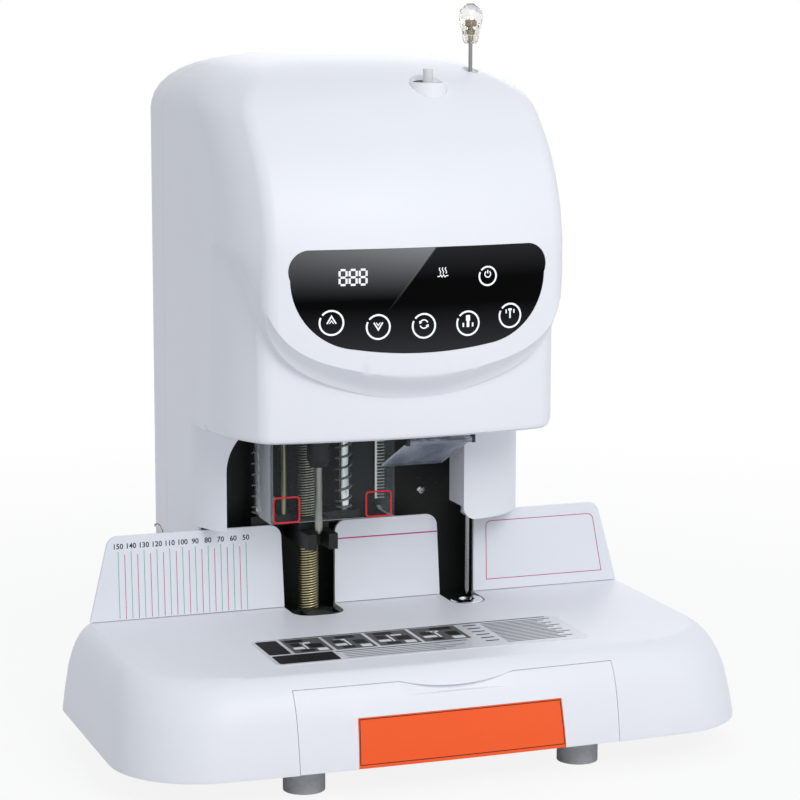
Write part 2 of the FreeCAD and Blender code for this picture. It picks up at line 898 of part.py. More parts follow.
def make_front_cover():
    """Head and column front as one moulding, open to the back and below."""
    wall = float(s.cover_wall)
    low = deck + s.gap
    y_back = float(seam - s.gap)
    outer = front_envelope(0.0, float(low), y_back)
    inner = front_envelope(wall, float(low - s.overrun), y_back + float(s.overrun))
    cover = outer.cut(inner)
    throat = plain_box(
        (-s.column_width, s.column_width), (head_front, leg_front), (low - s.overrun, s.throat_top)
    )
    legs = plain_box(
        (s.leg_return - half, half - s.leg_return),
        (leg_front - s.overrun, frame_front),
        (low - s.overrun, s.throat_top),
    )
    corner = s.window_corner
    window_y = (column_front - s.window_lip, column_front - s.window_lip + s.window_depth)
    window_z = (s.throat_top - s.overrun, s.head_bottom + s.cover_wall + s.overrun)
    window = plain_box((-window_left, window_right), window_y, window_z)
    arch = float(s.window_arch_radius)
    arch_low = s.head_bottom - s.window_arch_depth
    arch_corner = plain_box(
        (-window_left, -window_left + arch), window_y, (arch_low, arch_low + arch)
    )
    arch_round = Part.makeCylinder(
        arch,
        float(s.window_depth) * 2,
        vector(-window_left + arch, window_y[0] - s.window_depth / 2, arch_low),
        FreeCAD.Vector(0, 1, 0),
    )
    window = window.cut(arch_corner.cut(arch_round))
    foot_corner = plain_box(
        (window_right - s.overrun, window_right + corner),
        window_y,
        (s.throat_top - s.overrun, s.throat_top + corner),
    )
    rounder = Part.makeCylinder(
        float(corner),
        float(s.window_depth) * 2,
        vector(window_right + corner, window_y[0] - s.window_depth / 2, s.throat_top + corner),
        FreeCAD.Vector(0, 1, 0),
    )
    cheek = plain_box(
        (window_right, window_right + s.cheek_return_wall),
        (column_front + s.cover_wall / 2, column_front + s.cheek_return_depth),
        (s.throat_top + corner, s.head_bottom + s.cover_wall / 2),
    )
    cover = cover.cut(throat).cut(legs).cut(window).cut(foot_corner.cut(rounder)).fuse(cheek)
    cover = cover.cut(glass_prism(-float(s.gap)).common(head_face_zone()))
    port_y = front + s.port_setback
    port_z = (s.port_top - s.port_height - s.gap, s.head_top)
    bush_z = (s.needle_bush_top - s.needle_bush_height - s.gap, s.head_top)
    cover = cover.cut(plain_rod(s.port_diameter + s.gap * 2, s.port_offset, port_y, port_z))
    cover = cover.cut(plain_rod(s.needle_bush_diameter + s.gap * 2, press_x, station_y, bush_z))
    return cover.removeSplitter()


def head_face_zone():
    """Return the layer of the head's front wall that the control glass takes up."""
    return plain_box(
        (-half, half),
        (head_front - s.overrun, head_front + s.chin_step),
        (s.glass_bottom - s.overrun, s.glass_top + s.overrun),
    )


def make_control_glass():
    """Curved panel flush with the head's front, as thick as the moulding."""
    y_back = float(seam)
    sheet_of_head = head_solid(0.0, y_back).cut(head_solid(float(s.cover_wall), y_back))
    return sheet_of_head.common(glass_prism(0.0)).common(head_face_zone())


def rear_wire(level, half_width, y_front, y_rear, corner):
    """Return a plan outline with rounded rear corners."""
    bend = corner * (1 - math.cos(math.radians(45)))
    edges = [
        line(vector(-half_width, y_front, level), vector(-half_width, y_rear - corner, level)),
        arc(
            vector(-half_width, y_rear - corner, level),
            vector(bend - half_width, y_rear - bend, level),
            vector(corner - half_width, y_rear, level),
        ),
        line(vector(corner - half_width, y_rear, level), vector(half_width - corner, y_rear, level)),
        arc(
            vector(half_width - corner, y_rear, level),
            vector(half_width - bend, y_rear - bend, level),
            vector(half_width, y_rear - corner, level),
        ),
        line(vector(half_width, y_rear - corner, level), vector(half_width, y_front, level)),
        line(vector(half_width, y_front, level), vector(-half_width, y_front, level)),
    ]
    return Part.Wire(edges)


def rear_envelope(inset, low, y_front):
    """Return the rear cover's envelope behind the seam, drawn in by the inset."""
    corner = float(s.rear_corner) - inset
    wires = []
    for level, _, half_width, share, y_rear in head_levels(inset):
        reach = min(corner * share, (y_rear - y_front) * 0.8)
        wires.append(rear_wire(level, half_width, y_front, y_rear, reach))
    crown = Part.makeLoft(wires, True, True)
    straight = float(s.head_straight_top)
    trunk = rear_wire(low, float(half) - inset, y_front, float(rear_wall) - inset, corner)
    return raised(trunk, straight - low).fuse(crown)


def make_rear_cover():
    """Rear shell with vents and the openings for knob, inlet and switch."""
    wall = float(s.cover_wall)
    low = float(s.foot_height)
    y_front = float(seam + s.gap)
    outer = rear_envelope(0.0, low, y_front)
    inner = rear_envelope(wall, low - float(s.overrun), y_front - float(s.overrun))
    cover = outer.cut(inner)
    back = (rear_wall - s.cover_wall - s.overrun, rear)
    for share in VENT_COLUMN_SHARES:
        centre = half * share
        reach = half * VENT_WIDTH_SHARE / 2
        for index in range(VENT_COUNT):
            z = s.vent_low + s.vent_pitch * index
            slot = plain_box(
                (centre - reach, centre + reach), back, (z, z + s.vent_height)
            )
            cover = cover.cut(slot)
    inlet = plain_box(
        (inlet_x - s.inlet_width / 2 + s.inlet_border, inlet_x + s.inlet_width / 2 - s.inlet_border),
        back,
        (s.inlet_height - s.inlet_rise / 2 + s.inlet_border,
         s.inlet_height + s.inlet_rise / 2 - s.inlet_border),
    )
    switch = plain_box(
        (switch_x - s.switch_width / 2 + s.switch_border, switch_x + s.switch_width / 2 - s.switch_border),
        back,
        (s.inlet_height - s.switch_rise / 2 + s.switch_border,
         s.inlet_height + s.switch_rise / 2 - s.switch_border),
    )
    shaft_hole = Part.makeCylinder(
        float(s.side_knob_shaft / 2 + s.running_clearance),
        float(s.side_knob_reach) * 2,
        vector(-half - s.side_knob_reach, knob_y, s.knob_height),
        FreeCAD.Vector(1, 0, 0),
    )
    cover = cover.cut(inlet).cut(switch).cut(shaft_hole)
    for x, z in rear_screw_places:
        hole = Part.makeCylinder(
            float(s.screw_shank / 2 + s.gap),
            float(s.screw_length) * 2,
            vector(x, rear_wall - s.screw_length, z),
            FreeCAD.Vector(0, 1, 0),
        )
        cover = cover.cut(hole)
    return cover.removeSplitter()


inlet_x = s.inlet_side_offset - half
switch_x = inlet_x + s.switch_pitch
knob_y = front + s.knob_setback
rear_screw_places = [
    (side * (half - s.rear_screw_offset), z)
    for side in (-1, 1)
    for z in (s.rear_screw_low, s.rear_screw_high)
]


def tray_wire(level, share, inset):
    """Return the tray's plan outline at a share of its flare, drawn in by the inset."""
    half_width = float(s.overall_width) / 2 - float(s.tray_flare_side) * share - inset
    y_front = float(front) + float(s.tray_flare_front) * share + inset
    y_rear = float(tray_rear) - inset
    bow = float(s.tray_bow)
    corner = float(s.tray_corner) - inset
    back_corner = float(s.tray_rear_corner) - inset
    bend = 1 - math.cos(math.radians(45))
    y_knee = y_front + bow

    def point(side, x, y):
        return vector(side * x, y, level)

    edges = []
    edges.append(
        arc(
            point(-1, half_width - corner, y_knee),
            point(1, 0, y_front),
            point(1, half_width - corner, y_knee),
        )
    )
    right = [
        (half_width - corner, y_knee),
        (half_width - corner * bend, y_knee + corner * bend),
        (half_width, y_knee + corner),
        (half_width, y_rear - back_corner),
        (half_width - back_corner * bend, y_rear - back_corner * bend),
        (half_width - back_corner, y_rear),
    ]
    edges.append(arc(*(point(1, *corner_point) for corner_point in right[:3])))
    edges.append(line(point(1, *right[2]), point(1, *right[3])))
    edges.append(arc(*(point(1, *corner_point) for corner_point in right[3:])))
    edges.append(line(point(1, *right[5]), point(-1, *right[5])))
    left = right[::-1]
    edges.append(arc(*(point(-1, *corner_point) for corner_point in left[:3])))
    edges.append(line(point(-1, *left[2]), point(-1, *left[3])))
    edges.append(arc(*(point(-1, *corner_point) for corner_point in left[3:])))
    return Part.Wire(edges)


def tray_solid(inset, drop=0.0):
    """Return the tray's envelope, drawn in by the inset and carried down by the drop."""
    height = float(s.base_height) - inset
    wires = [
        tray_wire(float(s.foot_height) + height * rise, share, inset)
        for rise, share in smoothed(TRAY_SHARES)
    ]
    solid = Part.makeLoft(wires, True, True)
    if drop:
        foot = tray_wire(float(s.foot_height) - drop, TRAY_SHARES[0][1], inset)
        solid = solid.fuse(raised(foot, drop))
    return solid


def front_at(level):
    """Return how far forward the middle of the tray's front lies at a level."""
    height = (level - float(s.foot_height)) / float(s.base_height)
    rows = smoothed(TRAY_SHARES)
    steps = zip(rows, rows[1:])
    low, high = next(step for step in steps if height <= step[1][0])
    share = low[1] + (high[1] - low[1]) * (height - low[0]) / (high[0] - low[0])
    return float(front) + float(s.tray_flare_front) * share


def drawer_outline(grow, low):
    """Return the drawer front's outline, with its scallop, as a prism through the tray's front."""
    side = float(s.drawer_front_half) + grow
    top = float(s.drawer_front_top) + grow
    y = float(front) - float(s.overrun)
    cut_half = float(s.scallop_half)
    dip = float(s.scallop_depth)
    edges = [
        line(vector(-side, y, low), vector(side, y, low)),
        line(vector(side, y, low), vector(side, y, top)),
        line(vector(side, y, top), vector(cut_half, y, top)),
        arc(vector(cut_half, y, top), vector(0, y, top - dip), vector(-cut_half, y, top)),
        line(vector(-cut_half, y, top), vector(-side, y, top)),
        line(vector(-side, y, top), vector(-side, y, low)),
    ]
    depth = float(s.tray_flare_front + s.drawer_front_wall + s.tray_bow + s.overrun)
    return Part.Face(Part.Wire(edges)).extrude(FreeCAD.Vector(0, depth, 0))


def notch_block(name, x, width, corner, y, z):
    """Add a block whose two front corners are rounded, such as a U-shaped notch's cutter."""
    side = width / 2
    return joined(
        name,
        block(f"{name}_rear", (x - side, x + side), (y[0] + corner, y[1]), z),
        block(f"{name}_front", (x - side + corner, x + side - corner), y, z),
        rod_z(f"{name}_left", corner * 2, x - side + corner, y[0] + corner, z),
        rod_z(f"{name}_right", corner * 2, x + side - corner, y[0] + corner, z),
    )


def make_tray_shell():
    """Moulded tray with the drawer mouth and the tongue under the column."""
    wall = s.cover_wall
    tongue = plain_box((-half, half), (tray_rear - s.overrun, seam), (s.foot_height, deck))
    tongue_hollow = plain_box(
        (wall - half, half - wall),
        (tray_rear - wall - s.overrun, seam + s.overrun),
        (s.foot_height - s.overrun, deck - wall),
    )
    cover = tray_solid(0.0).fuse(tongue)
    cover = cover.cut(tray_solid(float(wall), float(s.overrun))).cut(tongue_hollow)
    return cover.cut(drawer_outline(float(s.gap) * 2, float(s.foot_height - s.overrun))).removeSplitter()


def make_drawer():
    """Scrap drawer: a moulded front that follows the tray, and an open box behind it."""
    face = tray_solid(0.0).cut(tray_solid(float(s.drawer_front_wall), float(s.overrun)))
    face = face.common(drawer_outline(0.0, float(s.foot_height + s.gap * 2)))
    seam_z = float(s.drawer_front_top - s.scallop_depth)
    dish = Part.makeSphere(
        float(s.scallop_dish_radius),
        vector(0, front_at(seam_z) - float(s.scallop_dish_forward), seam_z + s.scallop_dish_rise),
    )
    low = plate_top + s.drawer_lift
    top = low + s.drawer_height
    y_face = front + s.drawer_front_wall
    y_end = y_face + s.drawer_length
    box = plain_box((-s.drawer_half, s.drawer_half), (y_face, y_end), (low, top))
    hollow = plain_box(
        (s.drawer_wall - s.drawer_half, s.drawer_half - s.drawer_wall),
        (y_face + s.drawer_front_wall + s.tray_bow, y_end - s.drawer_wall),
        (low + s.drawer_wall, top + s.overrun),
    )
    body = face.cut(dish).fuse(box.cut(hollow))
    # The box's front end stays inside the front's outer surface.
    body = body.common(tray_solid(0.0))
    return body.cut(plaque_prism(float(s.gap)).common(plaque_layer(float(s.gap)))).removeSplitter()


def plaque_prism(grow):
    """Return the label plate's outline on the drawer front as a prism."""
    y = float(front) - float(s.overrun)
    low = float(s.foot_height) + float(s.gap) * 3 - grow
    top = float(s.plaque_top) + grow
    low_half = float(s.plaque_bottom_half) + grow
    top_half = float(s.plaque_top_half) + grow
    corners = [
        vector(-low_half, y, low), vector(low_half, y, low),
        vector(top_half, y, top), vector(-top_half, y, top), vector(-low_half, y, low),
    ]
    depth = float(s.tray_flare_front + s.overrun)
    return Part.Face(Part.makePolygon(corners)).extrude(FreeCAD.Vector(0, depth, 0))


def plaque_layer(grow):
    """Return the outer layer of the tray's front that the label plate takes up."""
    return tray_solid(0.0).cut(tray_solid(float(s.plaque_thickness) + grow, float(s.overrun)))


def helix_point(centre, radius, pitch, low, angle):
    """Return the point and the unit tangent of an upright helix at an angle."""
    point = FreeCAD.Vector(
        centre[0] + radius * math.cos(angle),
        centre[1] + radius * math.sin(angle),
        low + pitch * angle / (2 * math.pi),
    )
    tangent = FreeCAD.Vector(
        -radius * math.sin(angle), radius * math.cos(angle), pitch / (2 * math.pi)
    )
    return point, tangent.normalize()


def tangent_arc(start, corner, end):
    """Return the arc that leaves start towards corner and reaches end as if from it."""
    middle = (start + end) * 0.5
    chord = (end - start).Length
    rise = corner - middle
    turn = math.atan2(rise.Length, chord / 2)
    sagitta = chord / 2 * math.tan(turn / 2)
    return Part.Arc(start, middle + rise.normalize() * sagitta, end).toShape()


def biarc(start, start_tangent, end, end_tangent):
    """Return two arcs that join two points along their tangents."""
    step = end - start
    tangents = start_tangent + end_tangent
    spread = 2 * (1 - start_tangent.dot(end_tangent))
    along = step.dot(tangents)
    reach = (math.sqrt(along ** 2 + spread * step.dot(step)) - along) / spread
    first = start + start_tangent * reach
    second = end - end_tangent * reach
    joint = (first + second) * 0.5
    return [tangent_arc(start, first, joint), tangent_arc(joint, second, end)]


def spring_shape(x, y, low, high):
    """Return one coil spring as an unbroken round wire on biarcs of a quarter turn."""
    wire = float(s.spring_wire)
    radius = float(s.spring_diameter) / 2
    centre = (float(x), float(y))
    inset = wire / 2 + float(s.seat_clearance)
    bottom = float(low) + inset
    pitch = (float(high) - float(low) - 2 * inset) / SPRING_TURNS
    quarters = SPRING_TURNS * 4
    places = [
        helix_point(centre, radius, pitch, bottom, index * math.pi / 2) for index in range(quarters + 1)
    ]
    start, start_tangent = places[0]
    edges = [line(start - start_tangent * wire, start)]
    for (point, tangent), (following, next_tangent) in zip(places, places[1:]):
        edges.extend(biarc(point, tangent, following, next_tangent))
    end, end_tangent = places[-1]
    edges.append(line(end, end + end_tangent * wire))
    path = Part.Wire(edges)
    rim = Part.Wire(Part.makeCircle(wire / 2, start - start_tangent * wire, start_tangent))
    spring = path.makePipeShell([rim], True, False)
    print(f"spring: {SPRING_TURNS} turns, pitch {pitch:.2f}, least gap between turns {pitch - wire:.2f}")
    return spring


# Tray, deck and feet
cut_z = (deck - s.cover_wall - s.overrun, deck + s.overrun)
column_opening = block(
    "column_opening", (s.deck_rim - half, half - s.deck_rim),
    (fence_y + s.fence_lean, seam + s.overrun), cut_z,
)
punch_notch = notch_block(
    "punch_notch", punch_x, s.punch_notch_width, s.punch_notch_corner,
    (front + s.punch_notch_setback, tray_rear), cut_z,
)
press_notch = notch_block(
    "press_notch", press_x, s.press_notch_width, s.press_notch_corner,
    (front + s.press_notch_setback, tray_rear), cut_z,
)
tray_shell = shape_node("tray_shell", make_tray_shell())
node("base_cover", less("base_cover_cut", tray_shell, column_opening, punch_notch, press_notch))

plate_side = s.overall_width / 2 - s.plate_side_inset
plate_front = front + s.plate_front_inset
plate_chamfer = s.tray_corner - s.plate_side_inset
plate_rear = rear_wall - s.cover_wall - s.seat_clearance
tongue_side = half - s.cover_wall - s.seat_clearance
plate_outline = [
    (-plate_side, plate_front + plate_chamfer),
    (plate_chamfer - plate_side, plate_front),
    (plate_side - plate_chamfer, plate_front),
    (plate_side, plate_front + plate_chamfer),
    (plate_side, tray_rear - s.tray_rear_corner),
    (tongue_side, tray_rear - s.tray_rear_corner),
    (tongue_side, plate_rear - s.rear_corner),
    (tongue_side - s.rear_corner, plate_rear),
    (s.rear_corner - tongue_side, plate_rear),
    (-tongue_side, plate_rear - s.rear_corner),
    (-tongue_side, tray_rear - s.tray_rear_corner),
    (-plate_side, tray_rear - s.tray_rear_corner),
]
foot_places = [
    (side * x, y)
    for side in (-1, 1)
    for x, y in (
        (s.foot_spread / 2, front + s.foot_front_inset),
        (half - s.rear_foot_side_offset, rear - s.foot_rear_inset),
    )
]
plate_body = prism_xy("base_plate_sheet", plate_outline, (s.foot_height, plate_top))
screw_clear = s.foot_screw_diameter + s.gap * 2
plate_holes = [
    rod_z(f"plate_hole_{i}", screw_clear, x, y, (ZERO, plate_top + s.overrun))
    for i, (x, y) in enumerate(foot_places)
]
node("base_plate", less("base_plate_cut", plate_body, *plate_holes))

feet = []
foot_bolts = []
for i, (x, y) in enumerate(foot_places):
    foot = rod_z(f"foot_{i}", s.foot_diameter, x, y, (ZERO, s.foot_height))
    recess = rod_z(f"foot_recess_{i}", s.foot_recess, x, y, (-s.overrun, s.foot_recess_depth))
    hole = rod_z(f"foot_hole_{i}", screw_clear, x, y, (ZERO, s.foot_height + s.overrun))
    feet.append(less(f"foot_cut_{i}", foot, recess, hole))
    head_z = (s.foot_recess_depth - s.foot_screw_head_height, s.foot_recess_depth)
    head = rod_z(f"foot_screw_head_{i}", s.foot_screw_head, x, y, head_z)
    shank_z = (head_z[0], head_z[0] + s.foot_screw_length)
    shank = rod_z(f"foot_screw_shank_{i}", s.foot_screw_diameter, x, y, shank_z)
    foot_bolts.append(joined(f"foot_screw_{i}", head, shank))
node("rubber_feet", group("rubber_feet_group", *feet))
node("foot_screws", group("foot_screws_group", *foot_bolts))

# Fences
punch_left = punch_x - s.punch_notch_width / 2
punch_right = punch_x + s.punch_notch_width / 2
press_left = press_x - s.press_notch_width / 2
press_right = press_x + s.press_notch_width / 2
taper = s.fence_notch_taper
fence_spans = {
    "left": (-s.fence_outer, punch_left, s.fence_outer_taper - s.fence_outer, punch_left - taper),
    "middle": (punch_right, press_left, punch_right + taper, press_left - taper),
    "right": (press_right, s.fence_outer, press_right + taper, s.fence_outer - s.fence_outer_taper),
}
fences = []
for side, (low_left, low_right, top_left, top_right) in fence_spans.items():
    corners = [
        (low_left, ZERO), (low_right, ZERO),
        (top_right, s.fence_height), (top_left, s.fence_height),
    ]
    fence = prism(f"fence_{side}", "XZ_Plane", corners, s.fence_thickness)
    round_edges(
        fence, s.fence_corner,
        lambda edge: edge_runs(edge, 1) and edge.Vertexes[0].Point.z > s.fence_height.value / 2,
    )
    seat(fence, y=fence_y + s.fence_thickness, z=deck + s.gap * 2)
    fence.Placement.Rotation = FreeCAD.Rotation(FreeCAD.Vector(1, 0, 0), -1)
    fence.setExpression(
        "Placement.Rotation.Angle", f"-1 * atan({s.fence_lean.text} / {s.fence_height.text})"
    )
    fences.append(fence)
node("paper_fences", group("paper_fences_group", *fences))

label_y = (front + s.label_setback, front + s.label_setback + s.label_depth)
label_corners = [
    (-s.label_half_width, label_y[0]), (s.label_half_width, label_y[0]),
    (s.label_half_width, label_y[1]), (-s.label_half_width, label_y[1]),
]
deck_label = prism_xy("deck_label_sheet", label_corners, (deck, deck + s.label_thickness))
round_edges(deck_label, s.label_corner, lambda edge: edge_runs(edge, 2))
node("deck_label", deck_label)

# Drawer
node("scrap_drawer", shape_node("scrap_drawer", make_drawer()))
node("drawer_label", shape_node("drawer_label", plaque_prism(0.0).common(plaque_layer(0.0))))

# Bed, die block and dies
bed = block("bed_slab", (-bed_half, bed_half), (bed_front, frame_rear), (bed_low, bed_top))
bearing_hole = s.bearing_diameter + s.running_clearance * 2
die_y = (front + s.die_front_setback, front + s.die_front_setback + s.die_length)
slot_x = s.pad_diameter / 2 + s.chip_slot_rim
slot_y = (front + s.punch_notch_setback + s.punch_notch_corner / 2, die_y[1] - s.plate_thickness)
chip_slots = [
    block(f"chip_slot_{side}", (low, low + s.chip_slot_width), slot_y, (bed_low - s.overrun, deck + s.overrun))
    for side, low in (
        ("left", punch_x - slot_x - s.chip_slot_width),
        ("right", punch_x + slot_x),
    )
]
bed_bore = rod_z("bed_bore", bearing_hole, punch_x, screw_y, (bed_low - s.overrun, bed_top + s.overrun))
node("bed_plate", less("bed_plate_cut", bed, bed_bore, *chip_slots))

posts = [
    rod_z(f"post_{i}{j}", s.post_diameter, side * (bed_half - s.post_offset), y, (plate_top, bed_low))
    for i, side in enumerate((-1, 1))
    for j, y in enumerate((bed_front + s.post_offset, frame_rear - s.post_offset))
]
node("bed_posts", group("bed_posts_group", *posts))

die_top = deck - s.die_drop
slab_top = deck - s.cover_wall - s.seat_clearance
die_slab = block(
    "die_slab", (punch_x - s.die_margin, press_x + s.die_margin), die_y, (bed_top, slab_top)
)
island = notch_block(
    "die_island", punch_x, s.punch_notch_width - s.die_gap * 2, s.punch_notch_corner - s.die_gap,
    (front + s.punch_notch_setback + s.die_gap, die_y[1]), (slab_top, die_top),
)
pad_top = deck - s.pad_drop
pad_z = (pad_top - s.pad_height, pad_top)
pad_pocket = rod_z(
    "pad_pocket", s.pad_diameter + s.gap * 2, punch_x, station_y, (pad_z[0], deck + s.overrun)
)
lower_low = slab_top - s.lower_die_seat
die_pocket = rod_z(
    "die_pocket", s.lower_die_diameter + s.gap * 2, press_x, station_y, (lower_low, deck + s.overrun)
)
die_body = joined("die_body", die_slab, island)
node("die_block", less("die_block_cut", die_body, pad_pocket, die_pocket, *chip_slots))
node("drill_pad", rod_z("drill_pad", s.pad_diameter, punch_x, station_y, pad_z))
lower_top = lower_low + s.lower_die_height
cup_low = lower_top - s.lower_die_cup_depth
node("lower_die", turned("lower_die", [
    (s.ram_bore / 2, lower_low),
    (s.lower_die_diameter / 2, lower_low),
    (s.lower_die_diameter / 2, lower_top - s.lower_die_cup_depth / 2),
    (s.lower_die_diameter / 2 - s.lower_die_cup_depth / 2, lower_top),
    (s.lower_die_cup / 2, lower_top),
    (s.lower_die_cup / 2 - s.lower_die_cup_depth, cup_low),
    (s.ram_bore / 2, cup_low),
], press_x, station_y))

# Steel column and top plate
frame_side = bed_half
frame_in = frame_side - s.frame_wall
frame_web = frame_front + s.frame_wall
column = prism_xy("column_sheet", [
    (-frame_side, frame_rear), (-frame_side, frame_front), (frame_side, frame_front),
    (frame_side, frame_rear), (frame_in, frame_rear), (frame_in, frame_web),
    (-frame_in, frame_web), (-frame_in, frame_rear),
], (bed_top, s.frame_top))
frame_screw_places = [
    (side * (bed_half - s.frame_screw_offset), z)
    for side in (-1, 1)
    for z in (s.frame_screw_height, s.frame_screw_upper_height)
]
screw_holes = [
    rod_y(
        f"frame_hole_{i}", s.screw_shank + s.gap * 2, x,
        (frame_front - s.overrun, frame_web + s.overrun), z,
    )
    for i, (x, z) in enumerate(frame_screw_places)
]
node("column_frame", less("column_frame_cut", column, *screw_holes))

top_z = (s.frame_top, s.frame_top + s.top_plate_thickness)
through_top = (top_z[0] - s.overrun, top_z[1] + s.overrun)
top_slab = block("top_slab", (-bed_half, bed_half), (bed_front, frame_rear), top_z)
node("top_plate", less(
    "top_plate_cut",
    top_slab,
    rod_z("top_bore_lift", bearing_hole, punch_x, screw_y, through_top),
    rod_z("top_bore_press", bearing_hole, press_x, press_screw_y, through_top),
    rod_z("top_bore_needle", s.needle_diameter + s.gap * 2, press_x, station_y, through_top),
))
node("guide_rods", group("guide_rods_group", *(
    rod_z(f"guide_rod_{i}", s.rod_diameter, x, guide_y, (bed_top, s.frame_top))
    for i, x in enumerate(guide_xs)
)))

# Ram bracket, bearings, screws and gear motors
journal_bore = s.journal_diameter + s.running_clearance * 2
ram_bore_hole = s.ram_diameter + s.running_clearance * 2
bracket_y = (column_front + s.cover_wall + s.gap * 5, frame_front)
bracket = block(
    "bracket_slab", (press_x - s.bracket_half, press_x + s.bracket_half), bracket_y,
    (bracket_low, bracket_top),
)
bracket_through = (bracket_low - s.overrun, bracket_top + s.overrun)
node("ram_bracket", less(
    "ram_bracket_cut",
    bracket,
    rod_z("bracket_bore_ram", ram_bore_hole, press_x, station_y, bracket_through),
    rod_z("bracket_bore_screw", bearing_hole, press_x, press_screw_y, bracket_through),
))
bearing_seats = (
    (punch_x, screw_y, bed_low),
    (press_x, press_screw_y, bracket_low),
    (punch_x, screw_y, s.frame_top),
    (press_x, press_screw_y, s.frame_top),
)
node("screw_bearings", group("screw_bearings_group", *(
    ring_z(f"screw_bearing_{i}", s.bearing_diameter, journal_bore, x, y, (z, z + s.bearing_height))
    for i, (x, y, z) in enumerate(bearing_seats)
)))


def threaded_screw(name, diameter, x, y, bearing_low):
    """Turn a lead screw with a journal at each end."""
    low = bearing_low + s.bearing_height + s.gap * 2
    high = s.frame_top - s.screw_end_gap
    return turned(name, [
        (ZERO, bearing_low + s.gap),
        (s.journal_diameter / 2, bearing_low + s.gap),
        (s.journal_diameter / 2, low),
        (diameter / 2, low),
        (diameter / 2, high),
        (s.journal_diameter / 2, high),
        (s.journal_diameter / 2, high + s.journal_length - s.bearing_height),
        (ZERO, high + s.journal_length - s.bearing_height),
    ], x, y)


node("lift_screw", threaded_screw("lift_screw", s.screw_diameter, punch_x, screw_y, bed_low))
node("press_screw", threaded_screw(
    "press_screw", s.press_screw_diameter, press_x, press_screw_y, bracket_low
))


def gear_motor(name, x, y):
    """Build a gear motor that stands on the top plate over a screw's journal."""
    low = top_z[1]
    flange_z = (low, low + s.motor_flange_thickness)
    side = s.motor_flange / 2
    flange = block(f"{name}_flange", (x - side, x + side), (y - side, y + side), flange_z)
    can = rod_z(f"{name}_can", s.motor_diameter, x, y, (low, flange_z[1] + s.motor_height))
    recess_z = (low - s.overrun, low + s.motor_recess_depth)
    recess = rod_z(f"{name}_recess", s.bearing_diameter + s.seat_clearance * 2, x, y, recess_z)
    socket_z = (low - s.overrun, s.frame_top + s.journal_length - s.bearing_height)
    socket = rod_z(f"{name}_socket", journal_bore, x, y, socket_z)
    return less(name, joined(f"{name}_body", flange, can), recess, socket)


node("gear_motors", group(
    "gear_motors_group",
    gear_motor("lift_motor", punch_x, screw_y),
    gear_motor("press_motor", press_x, press_screw_y),
))

# Drill carriage
carriage_top = s.carriage_bottom + s.carriage_height
carriage_z = (s.carriage_bottom, carriage_top)
nose_y = (column_front + s.carriage_nose_gap, carriage_rear_y + s.cover_wall)
nose = block(
    "carriage_nose", (punch_x - s.carriage_nose_half, punch_x + s.carriage_nose_half), nose_y, carriage_z
)
carriage_rear = block(
    "carriage_rear",
    (punch_x - s.carriage_rear_half, punch_x + s.carriage_rear_half),
    (carriage_rear_y, carriage_rear_y + s.carriage_rear_depth),
    carriage_z,
)
carriage_through = (carriage_z[0] - s.overrun, carriage_z[1] + s.overrun)
bushing_hole = s.bushing_diameter + s.running_clearance * 2
pin_x = punch_x - s.pin_offset
carriage_bores = [
    rod_z("carriage_bore_spindle", bushing_hole, punch_x, station_y, carriage_through),
    rod_z("carriage_bore_nut", bearing_hole, punch_x, screw_y, carriage_through),
    rod_z("carriage_bore_pin", s.pin_diameter + s.seat_clearance * 2, pin_x, pin_y, carriage_through),
]
for i, x in enumerate(guide_xs):
    carriage_bores.append(rod_z(f"carriage_bore_rod_{i}", bushing_hole, x, guide_y, carriage_through))
node("carriage_block", less("carriage_cut", joined("carriage_body", nose, carriage_rear), *carriage_bores))

bushing_z = (carriage_z[0] - s.bushing_overhang, carriage_z[1] + s.bushing_overhang)
rod_bore = s.rod_diameter + s.running_clearance * 2
node("rod_bushings", group("rod_bushings_group", *(
    ring_z(f"rod_bushing_{i}", s.bushing_diameter, rod_bore, x, guide_y, bushing_z)
    for i, x in enumerate(guide_xs)
)))
nut_low = s.carriage_bottom - (s.nut_length - s.carriage_height) / 2
node("lift_nut", ring_z(
    "lift_nut", s.bearing_diameter, s.screw_diameter + s.running_clearance * 2,
    punch_x, screw_y, (nut_low, nut_low + s.nut_length),
))

shelf_z = (s.shelf_bottom, s.shelf_bottom + s.shelf_thickness)
shelf_x = (
    motor_x - s.drill_motor_diameter / 2 - s.shelf_margin,
    punch_x + s.carriage_nose_half - s.shelf_margin,
)
shelf = block("shelf", shelf_x, shelf_y, shelf_z)
web = block(
    "web",
    (punch_x - s.carriage_nose_half, shelf_x[1]),
    (shelf_y[1] - s.web_thickness, shelf_y[1]),
    (carriage_top, shelf_z[1]),
)
shelf_through = (shelf_z[0] - s.overrun, shelf_z[1] + s.overrun)
node("motor_bracket", less(
    "motor_bracket_cut",
    joined("motor_bracket_body", shelf, web),
    rod_z("shelf_bore_spindle", bushing_hole, punch_x, station_y, shelf_through),
    rod_z("shelf_bore_motor", s.motor_pulley_diameter, motor_x, station_y, shelf_through),
))
spindle_bore = s.spindle_diameter + s.running_clearance * 2
node("spindle_bearings", group("spindle_bearings_group", *(
    ring_z(
        f"spindle_bearing_{i}", s.bushing_diameter, spindle_bore, punch_x, station_y,
        (z, z + s.spindle_bearing_height),
    )
    for i, z in enumerate((s.carriage_bottom + s.plate_thickness, s.shelf_bottom))
)))

